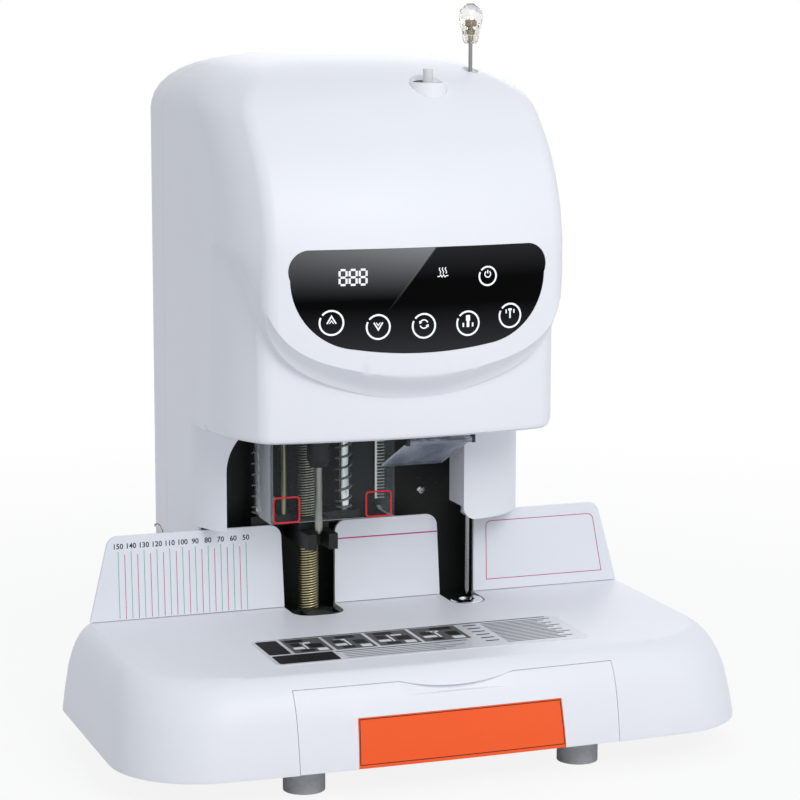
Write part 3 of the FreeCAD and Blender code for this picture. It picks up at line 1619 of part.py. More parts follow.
motor_z = (s.shelf_bottom - s.drill_motor_length, s.shelf_bottom)
shaft_low = s.shelf_bottom - s.motor_shaft_engagement
node("drill_motor", less(
    "drill_motor_cut",
    rod_z("drill_motor_can", s.drill_motor_diameter, motor_x, station_y, motor_z),
    rod_z(
        "drill_motor_socket", s.motor_shaft_diameter + s.running_clearance * 2, motor_x, station_y,
        (shaft_low - s.gap, s.shelf_bottom + s.overrun),
    ),
))

pulley_low = shelf_z[1] + s.pulley_lift
pulley_high = pulley_low + s.pulley_height


def pulley_profile(diameter, inner):
    """Return a flanged pulley's section."""
    rim = diameter / 2 + s.pulley_rim_step
    return [
        (inner, pulley_low), (rim, pulley_low), (rim, pulley_low + s.pulley_rim),
        (diameter / 2, pulley_low + s.pulley_rim), (diameter / 2, pulley_high - s.pulley_rim),
        (rim, pulley_high - s.pulley_rim), (rim, pulley_high), (inner, pulley_high),
    ]


node("spindle_pulley", turned(
    "spindle_pulley", pulley_profile(s.spindle_pulley_diameter, spindle_bore / 2), punch_x, station_y
))
motor_profile = pulley_profile(s.motor_pulley_diameter, ZERO)[1:]
motor_shaft = s.motor_shaft_diameter / 2
node("motor_pulley", turned(
    "motor_pulley",
    [(ZERO, shaft_low), (motor_shaft, shaft_low), (motor_shaft, pulley_low)] + motor_profile,
    motor_x,
    station_y,
))


def belt_wire(level, offset):
    """Return the open belt's loop round the two pulleys at an offset from their treads."""
    big = float(s.spindle_pulley_diameter) / 2 + offset
    small = float(s.motor_pulley_diameter) / 2 + offset
    centres = float(punch_x - motor_x)
    lean = math.asin((big - small) / centres)
    x_big = float(punch_x)
    x_small = float(motor_x)
    y = float(station_y)
    side = math.cos(lean)
    ahead = math.sin(lean)
    big_top = vector(x_big - big * ahead, y + big * side, level)
    big_low = vector(x_big - big * ahead, y - big * side, level)
    small_top = vector(x_small - small * ahead, y + small * side, level)
    small_low = vector(x_small - small * ahead, y - small * side, level)
    return Part.Wire([
        line(small_top, big_top),
        arc(big_top, vector(x_big + big, y, level), big_low),
        line(big_low, small_low),
        arc(small_low, vector(x_small - small, y, level), small_top),
    ])


belt_low = float(pulley_low + s.pulley_rim + s.belt_clearance * 2)
belt_high = float(pulley_high - s.pulley_rim - s.belt_clearance * 2)
belt_in = float(s.belt_clearance)
belt_out = belt_in + float(s.belt_thickness)
belt = raised(belt_wire(belt_low, belt_out), belt_high - belt_low)
belt = belt.cut(raised(belt_wire(belt_low, belt_in), belt_high - belt_low))
node("drive_belt", shape_node("drive_belt", belt))

# Spindle, chuck and hollow bit
bore = s.spindle_bore / 2
radius = s.spindle_diameter / 2
collar_top = s.carriage_bottom + s.plate_thickness - s.gap
collar_low = collar_top - s.spindle_collar_height
node("spindle", turned("spindle", [
    (bore, s.spindle_bottom), (radius, s.spindle_bottom), (radius, collar_low),
    (s.spindle_collar / 2, collar_low), (s.spindle_collar / 2, collar_top), (radius, collar_top),
    (radius, s.spindle_top), (bore, s.spindle_top),
], punch_x, station_y))
chuck_bit = s.bit_diameter / 2 + s.running_clearance
chuck_shaft = radius + s.running_clearance
chuck_shoulder = s.spindle_bottom - s.gap
node("chuck", turned("chuck", [
    (chuck_bit, s.chuck_bottom), (s.chuck_nose / 2, s.chuck_bottom),
    (s.chuck_diameter / 2, s.chuck_bottom + s.chuck_nose_height), (s.chuck_diameter / 2, s.chuck_top),
    (chuck_shaft, s.chuck_top), (chuck_shaft, chuck_shoulder), (chuck_bit, chuck_shoulder),
], punch_x, station_y))
node("hollow_bit", turned("hollow_bit", [
    (s.bit_bore / 2, s.bit_tip), (s.bit_bore / 2 + s.running_clearance * 4, s.bit_tip),
    (s.bit_diameter / 2, s.bit_tip + s.bit_edge), (s.bit_diameter / 2, chuck_shoulder),
    (s.bit_bore / 2, chuck_shoulder),
], punch_x, station_y))

# Paper foot with its guide pin and springs
foot_top = s.foot_bottom + s.foot_block_height
foot_block_z = (s.foot_bottom, foot_top)
fork_x = (punch_x - s.fork_half, punch_x + s.fork_half)
foot_plate_front = front + s.foot_plate_setback
foot_plate_y = (foot_plate_front, foot_plate_front + s.foot_plate_depth)
fork_front = front + s.fork_front_setback
fork_slot_back = front + s.fork_slot_setback
fork = block("fork", fork_x, (fork_front, foot_plate_y[1]), foot_block_z)
foot_plate = block(
    "foot_plate",
    (punch_x - s.foot_plate_half, punch_x + s.foot_plate_half),
    foot_plate_y,
    (foot_top - s.foot_plate_thickness, foot_top),
)
fork_through = (foot_block_z[0] - s.overrun, foot_block_z[1] + s.overrun)
fork_slot = block(
    "fork_slot",
    (punch_x - s.fork_slot_half, punch_x + s.fork_slot_half),
    (fork_front - s.overrun, fork_slot_back),
    fork_through,
)
prong_step = block(
    "prong_step",
    (fork_x[0] - s.overrun, fork_x[1] + s.overrun),
    (fork_front - s.overrun, fork_slot_back + s.plate_thickness),
    (foot_top - s.foot_plate_thickness, foot_top + s.overrun),
)
foot_bores = [
    rod_z("foot_bore_screw", s.screw_diameter + s.seat_clearance * 4, punch_x, screw_y, fork_through)
]
for i, x in enumerate(guide_xs):
    hole = s.rod_diameter + s.seat_clearance * 2
    foot_bores.append(rod_z(f"foot_bore_rod_{i}", hole, x, guide_y, fork_through))
node("press_foot", less(
    "press_foot_cut", joined("press_foot_body", fork, foot_plate), fork_slot, prong_step, *foot_bores
))
node("foot_pin", rod_z("foot_pin", s.pin_diameter, pin_x, pin_y, (foot_top, s.pin_top)))
springs = [spring_shape(x, guide_y, foot_top, bushing_z[0]) for x in guide_xs]
node("foot_springs", shape_node("foot_springs", Part.makeCompound(springs)))

# Press ram, arm and upper die
ram_low = s.upper_die_bottom + s.upper_die_height
ram_radius = s.ram_diameter / 2
needle_hole = s.ram_bore / 2
node("press_ram", turned("press_ram", [
    (needle_hole, ram_low), (ram_radius, ram_low), (ram_radius, s.ram_top), (needle_hole, s.ram_top),
], press_x, station_y))
node("upper_die", turned("upper_die", [
    (needle_hole, s.upper_die_bottom),
    (s.upper_die_diameter / 2 - s.lower_die_cup_depth, s.upper_die_bottom),
    (s.upper_die_diameter / 2, s.upper_die_bottom + s.lower_die_cup_depth),
    (s.upper_die_diameter / 2, ram_low),
    (needle_hole, ram_low),
], press_x, station_y))
arm_z = (s.ram_top - s.arm_height, s.ram_top)
arm_through = (arm_z[0] - s.overrun, arm_z[1] + s.overrun)
arm_slab = block(
    "arm_slab",
    (press_x - s.arm_half, press_x + s.arm_half),
    (station_y - s.arm_margin, press_screw_y + s.arm_margin),
    arm_z,
)
node("press_arm", less(
    "press_arm_cut",
    arm_slab,
    rod_z("arm_bore_ram", ram_bore_hole, press_x, station_y, arm_through),
    rod_z(
        "arm_bore_screw", s.press_screw_diameter + s.running_clearance * 2, press_x, press_screw_y,
        arm_through,
    ),
))

# Needle and its knob
needle_radius = s.needle_diameter / 2
node("needle", turned("needle", [
    (ZERO, s.needle_tip), (needle_radius, s.needle_tip + s.needle_point),
    (needle_radius, s.needle_top), (ZERO, s.needle_top),
], press_x, station_y))
knob_bore = needle_radius + s.running_clearance
knob_shoulder = s.knob_top - s.knob_shoulder_drop
node("needle_knob", turned("needle_knob", [
    (knob_bore, s.knob_bottom), (s.knob_foot_radius, s.knob_bottom),
    (s.knob_radius, knob_shoulder), (s.knob_crown_radius, s.knob_top - s.knob_crown_drop),
    (ZERO, s.knob_top), (ZERO, s.needle_top + s.gap), (knob_bore, s.needle_top + s.gap),
], press_x, station_y))
node("needle_bushing", ring_z(
    "needle_bushing", s.needle_bush_diameter, s.ram_bore, press_x, station_y,
    (s.needle_bush_top - s.needle_bush_height, s.needle_bush_top),
))

# Tube feed
port_y = front + s.port_setback
port_low = s.port_top - s.port_height
port_bore = s.tube_diameter / 2 + s.running_clearance
node("feed_port_ring", turned("feed_port_ring", [
    (port_bore, port_low), (s.port_diameter / 2, port_low), (s.port_diameter / 2, s.port_top),
    (s.port_diameter / 2 - s.port_wall, s.port_top),
    (s.port_diameter / 2 - s.port_wall, port_low + s.port_floor), (port_bore, port_low + s.port_floor),
], s.port_offset, port_y))
floor_top = s.head_bottom + s.cover_wall
node("feed_tube", ring_z(
    "feed_tube", s.tube_diameter, s.tube_bore, s.port_offset, port_y,
    (floor_top + s.gap, s.port_top - s.tube_end_drop),
))
node("tube_stock", ring_z(
    "tube_stock", s.stock_diameter, s.stock_bore, s.port_offset, port_y, (s.stock_bottom, s.stock_top)
))

# Clear guard round the drill
guard_y = front + s.guard_front_setback
guard_back = guard_y + s.guard_depth
guard_in = guard_y + s.guard_wall
guard = prism_xy("guard_sheet", [
    (-s.guard_left_offset, guard_y), (s.guard_right_offset, guard_y), (s.guard_right_offset, guard_back),
    (s.guard_right_offset - s.guard_wall, guard_back), (s.guard_right_offset - s.guard_wall, guard_in),
    (s.guard_wall - s.guard_left_offset, guard_in), (s.guard_wall - s.guard_left_offset, guard_back),
    (-s.guard_left_offset, guard_back),
], (s.guard_bottom_height, s.guard_top_height))
round_edges(
    guard, s.guard_corner,
    lambda edge: edge_runs(edge, 0)
    and edge.Vertexes[0].Point.y > guard_back.value - s.guard_wall.value
    and edge.Vertexes[0].Point.z < s.guard_wall.value,
)
guard_foot = block(
    "guard_foot",
    (-s.guard_left_offset, s.guard_right_offset),
    (guard_y - s.guard_foot_depth, guard_y),
    (floor_top + s.gap, floor_top + s.gap + s.guard_foot_thickness),
)
guard_screw_x = (s.guard_screw_offset - s.guard_left_offset, s.guard_right_offset - s.guard_screw_offset)
guard_screw_y = guard_y - s.guard_foot_depth / 2
guard_holes = [
    rod_z(
        f"guard_hole_{i}", s.screw_shank + s.gap * 2, x, guard_screw_y,
        (floor_top - s.overrun, s.guard_top_height),
    )
    for i, x in enumerate(guard_screw_x)
]
node("acrylic_guard", less("acrylic_guard_cut", joined("guard_body", guard, guard_foot), *guard_holes))

# Visor on its hinge under the head
hinge_y = front + s.visor_setback
hinge_z = s.head_bottom - s.visor_hang_height
visor_x = (s.visor_left_offset, s.visor_right_offset)
plate = prism_yz("visor_plate", [
    (hinge_y, hinge_z - s.visor_thickness / 2),
    (hinge_y + s.visor_length, hinge_z - s.visor_drop_height - s.visor_thickness / 2),
    (hinge_y + s.visor_length, hinge_z - s.visor_drop_height + s.visor_thickness / 2),
    (hinge_y, hinge_z + s.visor_thickness / 2),
], visor_x)
barrel = rod_x("visor_barrel", s.visor_barrel_diameter, visor_x, hinge_y, hinge_z)
pin_hole = rod_x(
    "visor_bore", s.visor_pin_diameter + s.running_clearance * 2,
    (s.visor_left_offset - s.overrun, s.visor_right_offset + s.overrun), hinge_y, hinge_z,
)
node("visor", less("visor_cut", joined("visor_body", plate, barrel), pin_hole))
ears = []
for i, (low, high) in enumerate((
    (s.visor_left_offset - s.gap - s.visor_ear_width, s.visor_left_offset - s.gap),
    (s.visor_right_offset + s.gap, s.visor_right_offset + s.gap + s.visor_ear_width),
)):
    side = s.visor_barrel_diameter / 2
    ears.append(block(f"visor_ear_{i}", (low, high), (hinge_y - side, hinge_y + side),
                      (hinge_z - side, s.head_bottom)))
pin_x_span = (s.visor_left_offset - s.gap - s.visor_ear_width, s.visor_right_offset + s.gap + s.visor_ear_width)
node("visor_hinge", joined(
    "visor_hinge_body", rod_x("visor_pin", s.visor_pin_diameter, pin_x_span, hinge_y, hinge_z), *ears
))

# Covers and control panel
node("front_cover", shape_node("front_cover", make_front_cover()))
node("rear_cover", shape_node("rear_cover", make_rear_cover()))
node("control_glass", shape_node("control_glass", make_control_glass()))

board_y = front + s.board_setback
board_sheet = block(
    "board_sheet", (-board_half, board_half), (board_y, board_y + s.board_thickness),
    (s.board_low_height, s.board_high_height),
)
board_posts = [
    rod_y(
        f"board_post_{i}{j}", s.board_post_diameter, side * (board_half - s.board_post_offset),
        (board_y - s.board_post_length, board_y), z,
    )
    for i, side in enumerate((-1, 1))
    for j, z in enumerate((s.board_low_height + s.board_post_diameter, s.board_high_height - s.board_post_diameter))
]
node("control_board", joined("control_board_body", board_sheet, *board_posts))
node("main_board", block(
    "main_board", (-bed_half, bed_half), (frame_rear, frame_rear + s.board_thickness),
    (s.main_board_low, s.main_board_high),
))
node("power_supply", block(
    "power_supply", (-s.supply_half, s.supply_half),
    (frame_web + s.supply_front_offset, frame_rear - s.supply_rear_offset), (bed_top, bed_top + s.supply_height),
))
node("depth_strip", block(
    "depth_strip", (s.strip_left, s.strip_left + s.strip_width),
    (frame_front - s.strip_thickness, frame_front), (s.strip_low, s.strip_high),
))

# Side knob on its shaft
knob_out = -half - s.side_knob_grip / 2
knob_disc = rod_x(
    "knob_disc", s.side_knob_diameter,
    (-half - s.gap * 2 - s.side_knob_thickness, -half - s.gap * 2), knob_y, s.knob_height,
)
knob_face = -half - s.gap * 2 - s.side_knob_thickness
knob_grip = block(
    "knob_grip",
    (knob_face - s.side_knob_grip_height, knob_face),
    (knob_y - s.side_knob_diameter / 2 + s.side_knob_grip,
     knob_y + s.side_knob_diameter / 2 - s.side_knob_grip),
    (s.knob_height - s.side_knob_grip / 2, s.knob_height + s.side_knob_grip / 2),
)
shaft_in = s.side_knob_reach - half
knob_shaft = rod_x(
    "knob_shaft", s.side_knob_shaft, (-half - s.gap * 2, shaft_in), knob_y, s.knob_height
)
collar_x = s.cover_wall - half + s.gap
knob_collar = rod_x(
    "knob_collar", s.side_knob_collar, (collar_x, collar_x + s.side_knob_grip_height),
    knob_y, s.knob_height,
)
node("side_knob", joined("side_knob_body", knob_disc, knob_grip, knob_shaft, knob_collar))

# Power inlet and switch
inlet_z = (s.inlet_height - s.inlet_rise / 2, s.inlet_height + s.inlet_rise / 2)
inlet_span = (inlet_x - s.inlet_width / 2, inlet_x + s.inlet_width / 2)
inlet_flange = block("inlet_flange", inlet_span, (rear_wall, rear), inlet_z)
border = s.inlet_border + s.gap
inlet_core = block(
    "inlet_core",
    (inlet_span[0] + border, inlet_span[1] - border),
    (rear - s.inlet_depth, rear),
    (inlet_z[0] + border, inlet_z[1] - border),
)
mouth_y = (rear - s.inlet_mouth_depth, rear + s.overrun)
inlet_mouth = block(
    "inlet_mouth",
    (inlet_x - s.inlet_mouth_width / 2, inlet_x + s.inlet_mouth_width / 2),
    mouth_y,
    (s.inlet_height - s.inlet_mouth_rise / 2, s.inlet_height + s.inlet_mouth_rise / 2),
)
inlet_shell = less("inlet_shell", joined("inlet_body", inlet_flange, inlet_core), inlet_mouth)
inlet_pins = [
    rod_y(
        f"inlet_pin_{i}", s.inlet_pin, inlet_x + side * s.inlet_mouth_width / 4,
        (mouth_y[0] - s.inlet_pin, rear - s.inlet_pin * 2), s.inlet_height,
    )
    for i, side in enumerate((-1, 0, 1))
]
node("power_inlet", joined("power_inlet_body", inlet_shell, *inlet_pins))

switch_z = (s.inlet_height - s.switch_rise / 2, s.inlet_height + s.switch_rise / 2)
switch_span = (switch_x - s.switch_width / 2, switch_x + s.switch_width / 2)
switch_flange = block("switch_flange", switch_span, (rear_wall, rear - s.gap * 3), switch_z)
border = s.switch_border + s.gap
switch_core = block(
    "switch_core",
    (switch_span[0] + border, switch_span[1] - border),
    (rear - s.switch_depth, rear - s.gap * 3),
    (switch_z[0] + border, switch_z[1] - border),
)
wall = border + s.rear_flange
rocker_span = (switch_span[0] + wall, switch_span[1] - wall)
rocker_z = (switch_z[0] + wall, switch_z[1] - wall)
rocker_well = block(
    "rocker_well",
    (rocker_span[0] - s.gap, rocker_span[1] + s.gap),
    (rear - s.rocker_depth - s.rear_flange, rear + s.overrun),
    (rocker_z[0] - s.rear_flange / 2, rocker_z[1] + s.rear_flange / 2),
)
node("switch_frame", less("switch_frame_cut", joined("switch_body", switch_flange, switch_core), rocker_well))
rocker_pivot = rear - s.rocker_depth / 2
rocker_face = s.rocker_depth / 2 - s.gap * 4
rocker_tip = (rocker_z[1] - rocker_z[0]) / 2 - s.rear_flange / 2
rocker = prism("rocker", "YZ_Plane", [
    (-s.rocker_depth / 2, -s.rocker_depth / 2),
    (rocker_face - s.rear_flange, -rocker_tip),
    (rocker_face - s.rear_flange / 2, -rocker_tip),
    (rocker_face - s.rear_flange, ZERO),
    (rocker_face - s.rear_flange / 2, rocker_tip),
    (rocker_face - s.rear_flange, rocker_tip),
    (-s.rocker_depth / 2, s.rocker_depth / 2),
], rocker_span[1] - rocker_span[0])
seat(rocker, rocker_span[0], rocker_pivot, s.inlet_height, FreeCAD.Rotation(FreeCAD.Vector(1, 0, 0), 1))
rocker.setExpression("Placement.Rotation.Angle", s.rocker_tilt.text)
node("switch_rocker", rocker)

# Machine screws in the frame, the guard and the rear cover
machine_screws = []
for i, (x, z) in enumerate(frame_screw_places):
    head = rod_y(f"frame_screw_head_{i}", s.screw_head_diameter, x,
                 (frame_front - s.screw_head_height, frame_front), z)
    shank = rod_y(f"frame_screw_shank_{i}", s.screw_shank, x,
                  (frame_front, frame_front + s.screw_length), z)
    machine_screws.append(joined(f"frame_screw_{i}", head, shank))
for i, x in enumerate(guard_screw_x):
    foot_z = floor_top + s.gap + s.guard_foot_thickness
    head = rod_z(f"guard_screw_head_{i}", s.screw_head_diameter, x, guard_screw_y,
                 (foot_z, foot_z + s.screw_head_height))
    shank = rod_z(f"guard_screw_shank_{i}", s.screw_shank, x, guard_screw_y, (floor_top, foot_z))
    machine_screws.append(joined(f"guard_screw_{i}", head, shank))
for i, (x, z) in enumerate(rear_screw_places):
    head = rod_y(f"rear_screw_head_{i}", s.screw_head_diameter, x, (rear_wall, rear), z)
    shank = rod_y(f"rear_screw_shank_{i}", s.screw_shank, x, (rear_wall - s.screw_length, rear_wall), z)
    machine_screws.append(joined(f"rear_screw_{i}", head, shank))
node("machine_screws", group("machine_screws_group", *machine_screws))

doc.recompute()
for obj in doc.Objects:
    if "Invalid" in obj.State or "Error" in obj.State:
        raise RuntimeError(f"{obj.Name} failed: {obj.State}")
os.makedirs("parts", exist_ok=True)
for name, obj in nodes.items():
    shape = obj.Shape
    if shape.isNull() or not shape.isValid() or not shape.Solids:
        raise RuntimeError(f"{name} has no valid solid")
    shape.exportStep(f"parts/{name}.step")
    print(f"{name}: {len(shape.Solids)} solid(s), {shape.Volume / 1000:.1f} cm3")
print(f"{len(nodes)} nodes")
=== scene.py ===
"""Dressing of a desktop document riveting machine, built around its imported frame.

Sizes are in millimetres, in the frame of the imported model, and become metres when a mesh is made.
+X is the operator's right, +Y the back and +Z up.
"""

import json
import logging
import math
from collections.abc import Iterable, Mapping, Sequence
from dataclasses import dataclass, field
from enum import Enum

import bmesh
import bpy
import numpy as np
from mathutils import Matrix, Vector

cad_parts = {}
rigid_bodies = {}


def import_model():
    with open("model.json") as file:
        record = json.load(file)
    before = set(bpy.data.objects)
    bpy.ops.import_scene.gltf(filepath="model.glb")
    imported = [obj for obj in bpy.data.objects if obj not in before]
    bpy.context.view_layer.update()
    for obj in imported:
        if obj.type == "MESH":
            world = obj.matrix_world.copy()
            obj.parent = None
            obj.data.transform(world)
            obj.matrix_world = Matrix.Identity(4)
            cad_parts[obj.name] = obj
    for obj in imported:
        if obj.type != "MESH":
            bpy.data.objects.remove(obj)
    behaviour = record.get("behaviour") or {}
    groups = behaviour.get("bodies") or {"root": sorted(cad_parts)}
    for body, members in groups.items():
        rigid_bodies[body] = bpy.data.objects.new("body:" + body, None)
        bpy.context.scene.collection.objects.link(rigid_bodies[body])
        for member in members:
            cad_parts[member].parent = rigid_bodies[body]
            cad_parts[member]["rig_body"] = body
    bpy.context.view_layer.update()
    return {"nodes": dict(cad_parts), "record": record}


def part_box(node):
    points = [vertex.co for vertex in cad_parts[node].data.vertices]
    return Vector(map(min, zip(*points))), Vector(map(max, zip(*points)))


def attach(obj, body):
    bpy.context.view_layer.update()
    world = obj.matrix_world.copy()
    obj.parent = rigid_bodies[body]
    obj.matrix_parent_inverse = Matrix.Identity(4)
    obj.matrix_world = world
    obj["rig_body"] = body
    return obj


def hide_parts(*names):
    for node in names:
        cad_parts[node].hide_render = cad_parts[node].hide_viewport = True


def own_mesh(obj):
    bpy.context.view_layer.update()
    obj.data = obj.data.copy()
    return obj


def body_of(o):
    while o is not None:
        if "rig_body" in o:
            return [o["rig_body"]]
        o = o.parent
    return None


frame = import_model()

LOG = logging.getLogger("riveting_machine")
METRE = 0.001
TURN = 2 * math.pi
Pair = tuple[float, float]
Triple = tuple[float, float, float]
Colour = tuple[float, float, float, float]
WHITE: Colour = (1.0, 1.0, 1.0, 1.0)


def tint(red: float, green: float, blue: float) -> Colour:
    """Turn screen values from 0 to 255 into the linear colour that a shader takes."""
    screen = np.array((red, green, blue)) / 255
    linear = np.where(screen <= 0.04045, screen / 12.92, ((screen + 0.055) / 1.055) ** 2.4)
    return (float(linear[0]), float(linear[1]), float(linear[2]), 1.0)


def scaled(colour: Colour, factor: float) -> Colour:
    """Make a colour lighter or darker, with no channel above 1."""
    return tuple(min(1.0, channel * factor) for channel in colour[:3]) + (1.0,)


# Shader writing


class Signal:
    """A value or colour that leaves a node and takes part in arithmetic."""

    def __init__(self, recipe: "Recipe", socket: bpy.types.NodeSocket) -> None:
        """Hold the socket and the recipe that it belongs to."""
        self.recipe = recipe
        self.socket = socket

    def out(self, name: str | int) -> "Signal":
        """Give another output of the same node."""
        return Signal(self.recipe, self.socket.node.outputs[name])

    def maths(self, operation: str, *others: "Signal | float") -> "Signal":
        """Add a Math node on this value.

        Args:
            operation: The Math node's operation.
            others: The node's further values.

        Returns:
            The node's result.
        """
        inputs = dict(enumerate((self, *others)))
        return self.recipe.node("ShaderNodeMath", {"operation": operation}, inputs)

    def __add__(self, other: "Signal | float") -> "Signal":
        """Add."""
        return self.maths("ADD", other)

    __radd__ = __add__

    def __sub__(self, other: "Signal | float") -> "Signal":
        """Subtract."""
        return self.maths("SUBTRACT", other)

    def __rsub__(self, other: float) -> "Signal":
        """Subtract this value from a number."""
        return self.recipe.node("ShaderNodeMath", {"operation": "SUBTRACT"}, {0: other, 1: self})

    def __mul__(self, other: "Signal | float") -> "Signal":
        """Multiply."""
        return self.maths("MULTIPLY", other)

    __rmul__ = __mul__

    def __truediv__(self, other: "Signal | float") -> "Signal":
        """Divide."""
        return self.maths("DIVIDE", other)

    def __pow__(self, other: float) -> "Signal":
        """Raise to a power."""
        return self.maths("POWER", other)

    def above(self, level: "Signal | float") -> "Signal":
        """Give 1 where the value is over a level, else 0."""
        return self.maths("GREATER_THAN", level)

    def below(self, level: "Signal | float") -> "Signal":
        """Give 1 where the value is under a level, else 0."""
        return self.maths("LESS_THAN", level)

    def size(self) -> "Signal":
        """Give the value without its sign."""
        return self.maths("ABSOLUTE")

    def clipped(self) -> "Signal":
        """Hold the value between 0 and 1."""
        return self.recipe.node("ShaderNodeClamp", {}, {0: self})

    def ramp(self, low: float, high: float) -> "Signal":
        """Rise evenly from 0 at the low value to 1 at the high one."""
        return ((self - low) / (high - low)).clipped()

    def over(self, span: Pair) -> "Signal":
        """Rise evenly from 0 to 1 over a span that is given in millimetres."""
        return self.ramp(span[0] * METRE, span[1] * METRE)


class Recipe:
    """A material or world tree under construction."""

    def __init__(self, tree: bpy.types.NodeTree, owner: bpy.types.ID) -> None:
        """Empty the tree and keep it."""
        self.tree = tree
        self.owner = owner
        tree.nodes.clear()

    @classmethod
    def material(cls, name: str) -> "Recipe":
        """Start a material."""
        made = bpy.data.materials.new(name)
        made.use_nodes = True
        return cls(made.node_tree, made)

    def node(
        self,
        kind: str,
        settings: Mapping[str, object] | None = None,
        inputs: Mapping[str | int, object] | None = None,
    ) -> Signal:
        """Add a node.

        Args:
            kind: The node's type.
            settings: Its settings, set first.
            inputs: Values or links for its sockets, by name or number.

        Returns:
            The node's first output, or its first input where it has no output.
        """
        made = self.tree.nodes.new(kind)
        for key, value in (settings or {}).items():
            setattr(made, key, value)
        for key, value in (inputs or {}).items():
            if isinstance(value, Signal):
                self.tree.links.new(value.socket, made.inputs[key])
            else:
                made.inputs[key].default_value = value
        return Signal(self, (made.outputs or made.inputs)[0])

    def place(self) -> Signal:
        """Give the point of the surface, in the object's own coordinates."""
        return self.node("ShaderNodeTexCoord").out("Object")

    def split(self, vector: Signal) -> tuple[Signal, Signal, Signal]:
        """Give a vector's X, Y and Z."""
        parts = self.node("ShaderNodeSeparateXYZ", {}, {0: vector})
        return parts, parts.out(1), parts.out(2)

    def axes(self) -> tuple[Signal, Signal, Signal]:
        """Give the point's X, Y and Z."""
        return self.split(self.place())

    def facing(self) -> tuple[Signal, Signal, Signal]:
        """Give the surface normal's X, Y and Z."""
        return self.split(self.node("ShaderNodeNewGeometry").out("Normal"))

    def cloud(
        self,
        grain: float,
        detail: float = 2.0,
        stretch: Triple = (1.0, 1.0, 1.0),
    ) -> Signal:
        """Give soft noise.

        Args:
            grain: The size of its grains, in millimetres.
            detail: How many finer layers it has.
            stretch: A scale of the pattern along each axis, below 1 to draw it out.

        Returns:
            A value around one half.
        """
        spot = self.node("ShaderNodeMapping", {}, {"Vector": self.place(), "Scale": stretch})
        inputs = {"Vector": spot, "Scale": 1 / (grain * METRE), "Detail": detail}
        return self.node("ShaderNodeTexNoise", {}, inputs)

    def blend(
        self, share: Signal | float, first: Signal | Colour, second: Signal | Colour
    ) -> Signal:
        """Mix two colours by a share of the second."""
        inputs = {0: share, 6: first, 7: second}
        return self.node("ShaderNodeMix", {"data_type": "RGBA"}, inputs).out(2)

    def shades(self, share: Signal | float, colour: Colour, low: float, high: float) -> Signal:
        """Mix a darker and a lighter version of one colour."""
        return self.blend(share, scaled(colour, low), scaled(colour, high))

    def relief(self, height: Signal, depth: float, strength: float = 1.0) -> Signal:
        """Turn a height from 0 to 1 into a normal, with the depth in millimetres."""
        inputs = {"Height": height, "Distance": depth * METRE, "Strength": strength}
        return self.node("ShaderNodeBump", {}, inputs)

    def gloss(self, **sockets: object) -> Signal:
        """Add the main shader, with its sockets named with underscores for spaces."""
        inputs = {key.replace("_", " "): value for key, value in sockets.items()}
        return self.node("ShaderNodeBsdfPrincipled", {}, inputs)

    def finish(self, shader: Signal) -> bpy.types.Material:
        """Send a shader to the output and give the finished material."""
        self.node("ShaderNodeOutputMaterial", {}, {"Surface": shader})
        return self.owner


# Finishes


@dataclass(frozen=True)
class Finish:
    """What every finish has: the material's name and its main colour."""

    name: str
    colour: Colour

    def shader(self, recipe: Recipe) -> Signal:
        """Write the material's nodes and give its last shader."""
        raise NotImplementedError

    def material(self) -> bpy.types.Material:
        """Give the material, made once."""
        made = bpy.data.materials.get(self.name)
        if made is None:
            recipe = Recipe.material(self.name)
            made = recipe.finish(self.shader(recipe))
        return made


@dataclass(frozen=True)
class MouldedPlastic(Finish):
    """Opaque plastic from a spark-eroded mould."""

    roughness: float = 0.42
    grain: float = 0.55
    relief: float = 0.012
    mottle: float = 0.02
    specular: float = 0.35
    soil: float = 0.0
    soil_top: float = 40.0

    def shader(self, recipe: Recipe) -> Signal:
        """Mottle the colour, darken it in patches towards the bottom and give it a fine grain."""
        tone = recipe.cloud(70, 3)
        colour = recipe.shades(tone, self.colour, 1 - self.mottle, 1 + self.mottle)
        height = recipe.axes()[2]
        # Darker in noisy patches near the bottom of the piece.
        low = (1 - height.over((0, self.soil_top))) * recipe.cloud(9, 4) * self.soil
        colour = recipe.blend(low, colour, scaled(self.colour, 0.55))
        grain = recipe.cloud(self.grain, 2)
        return recipe.gloss(
            Base_Color=colour,
            Roughness=self.roughness + (grain - 0.5) * 0.12,
            Specular_IOR_Level=self.specular,
            Normal=recipe.relief(grain, self.relief),
        )


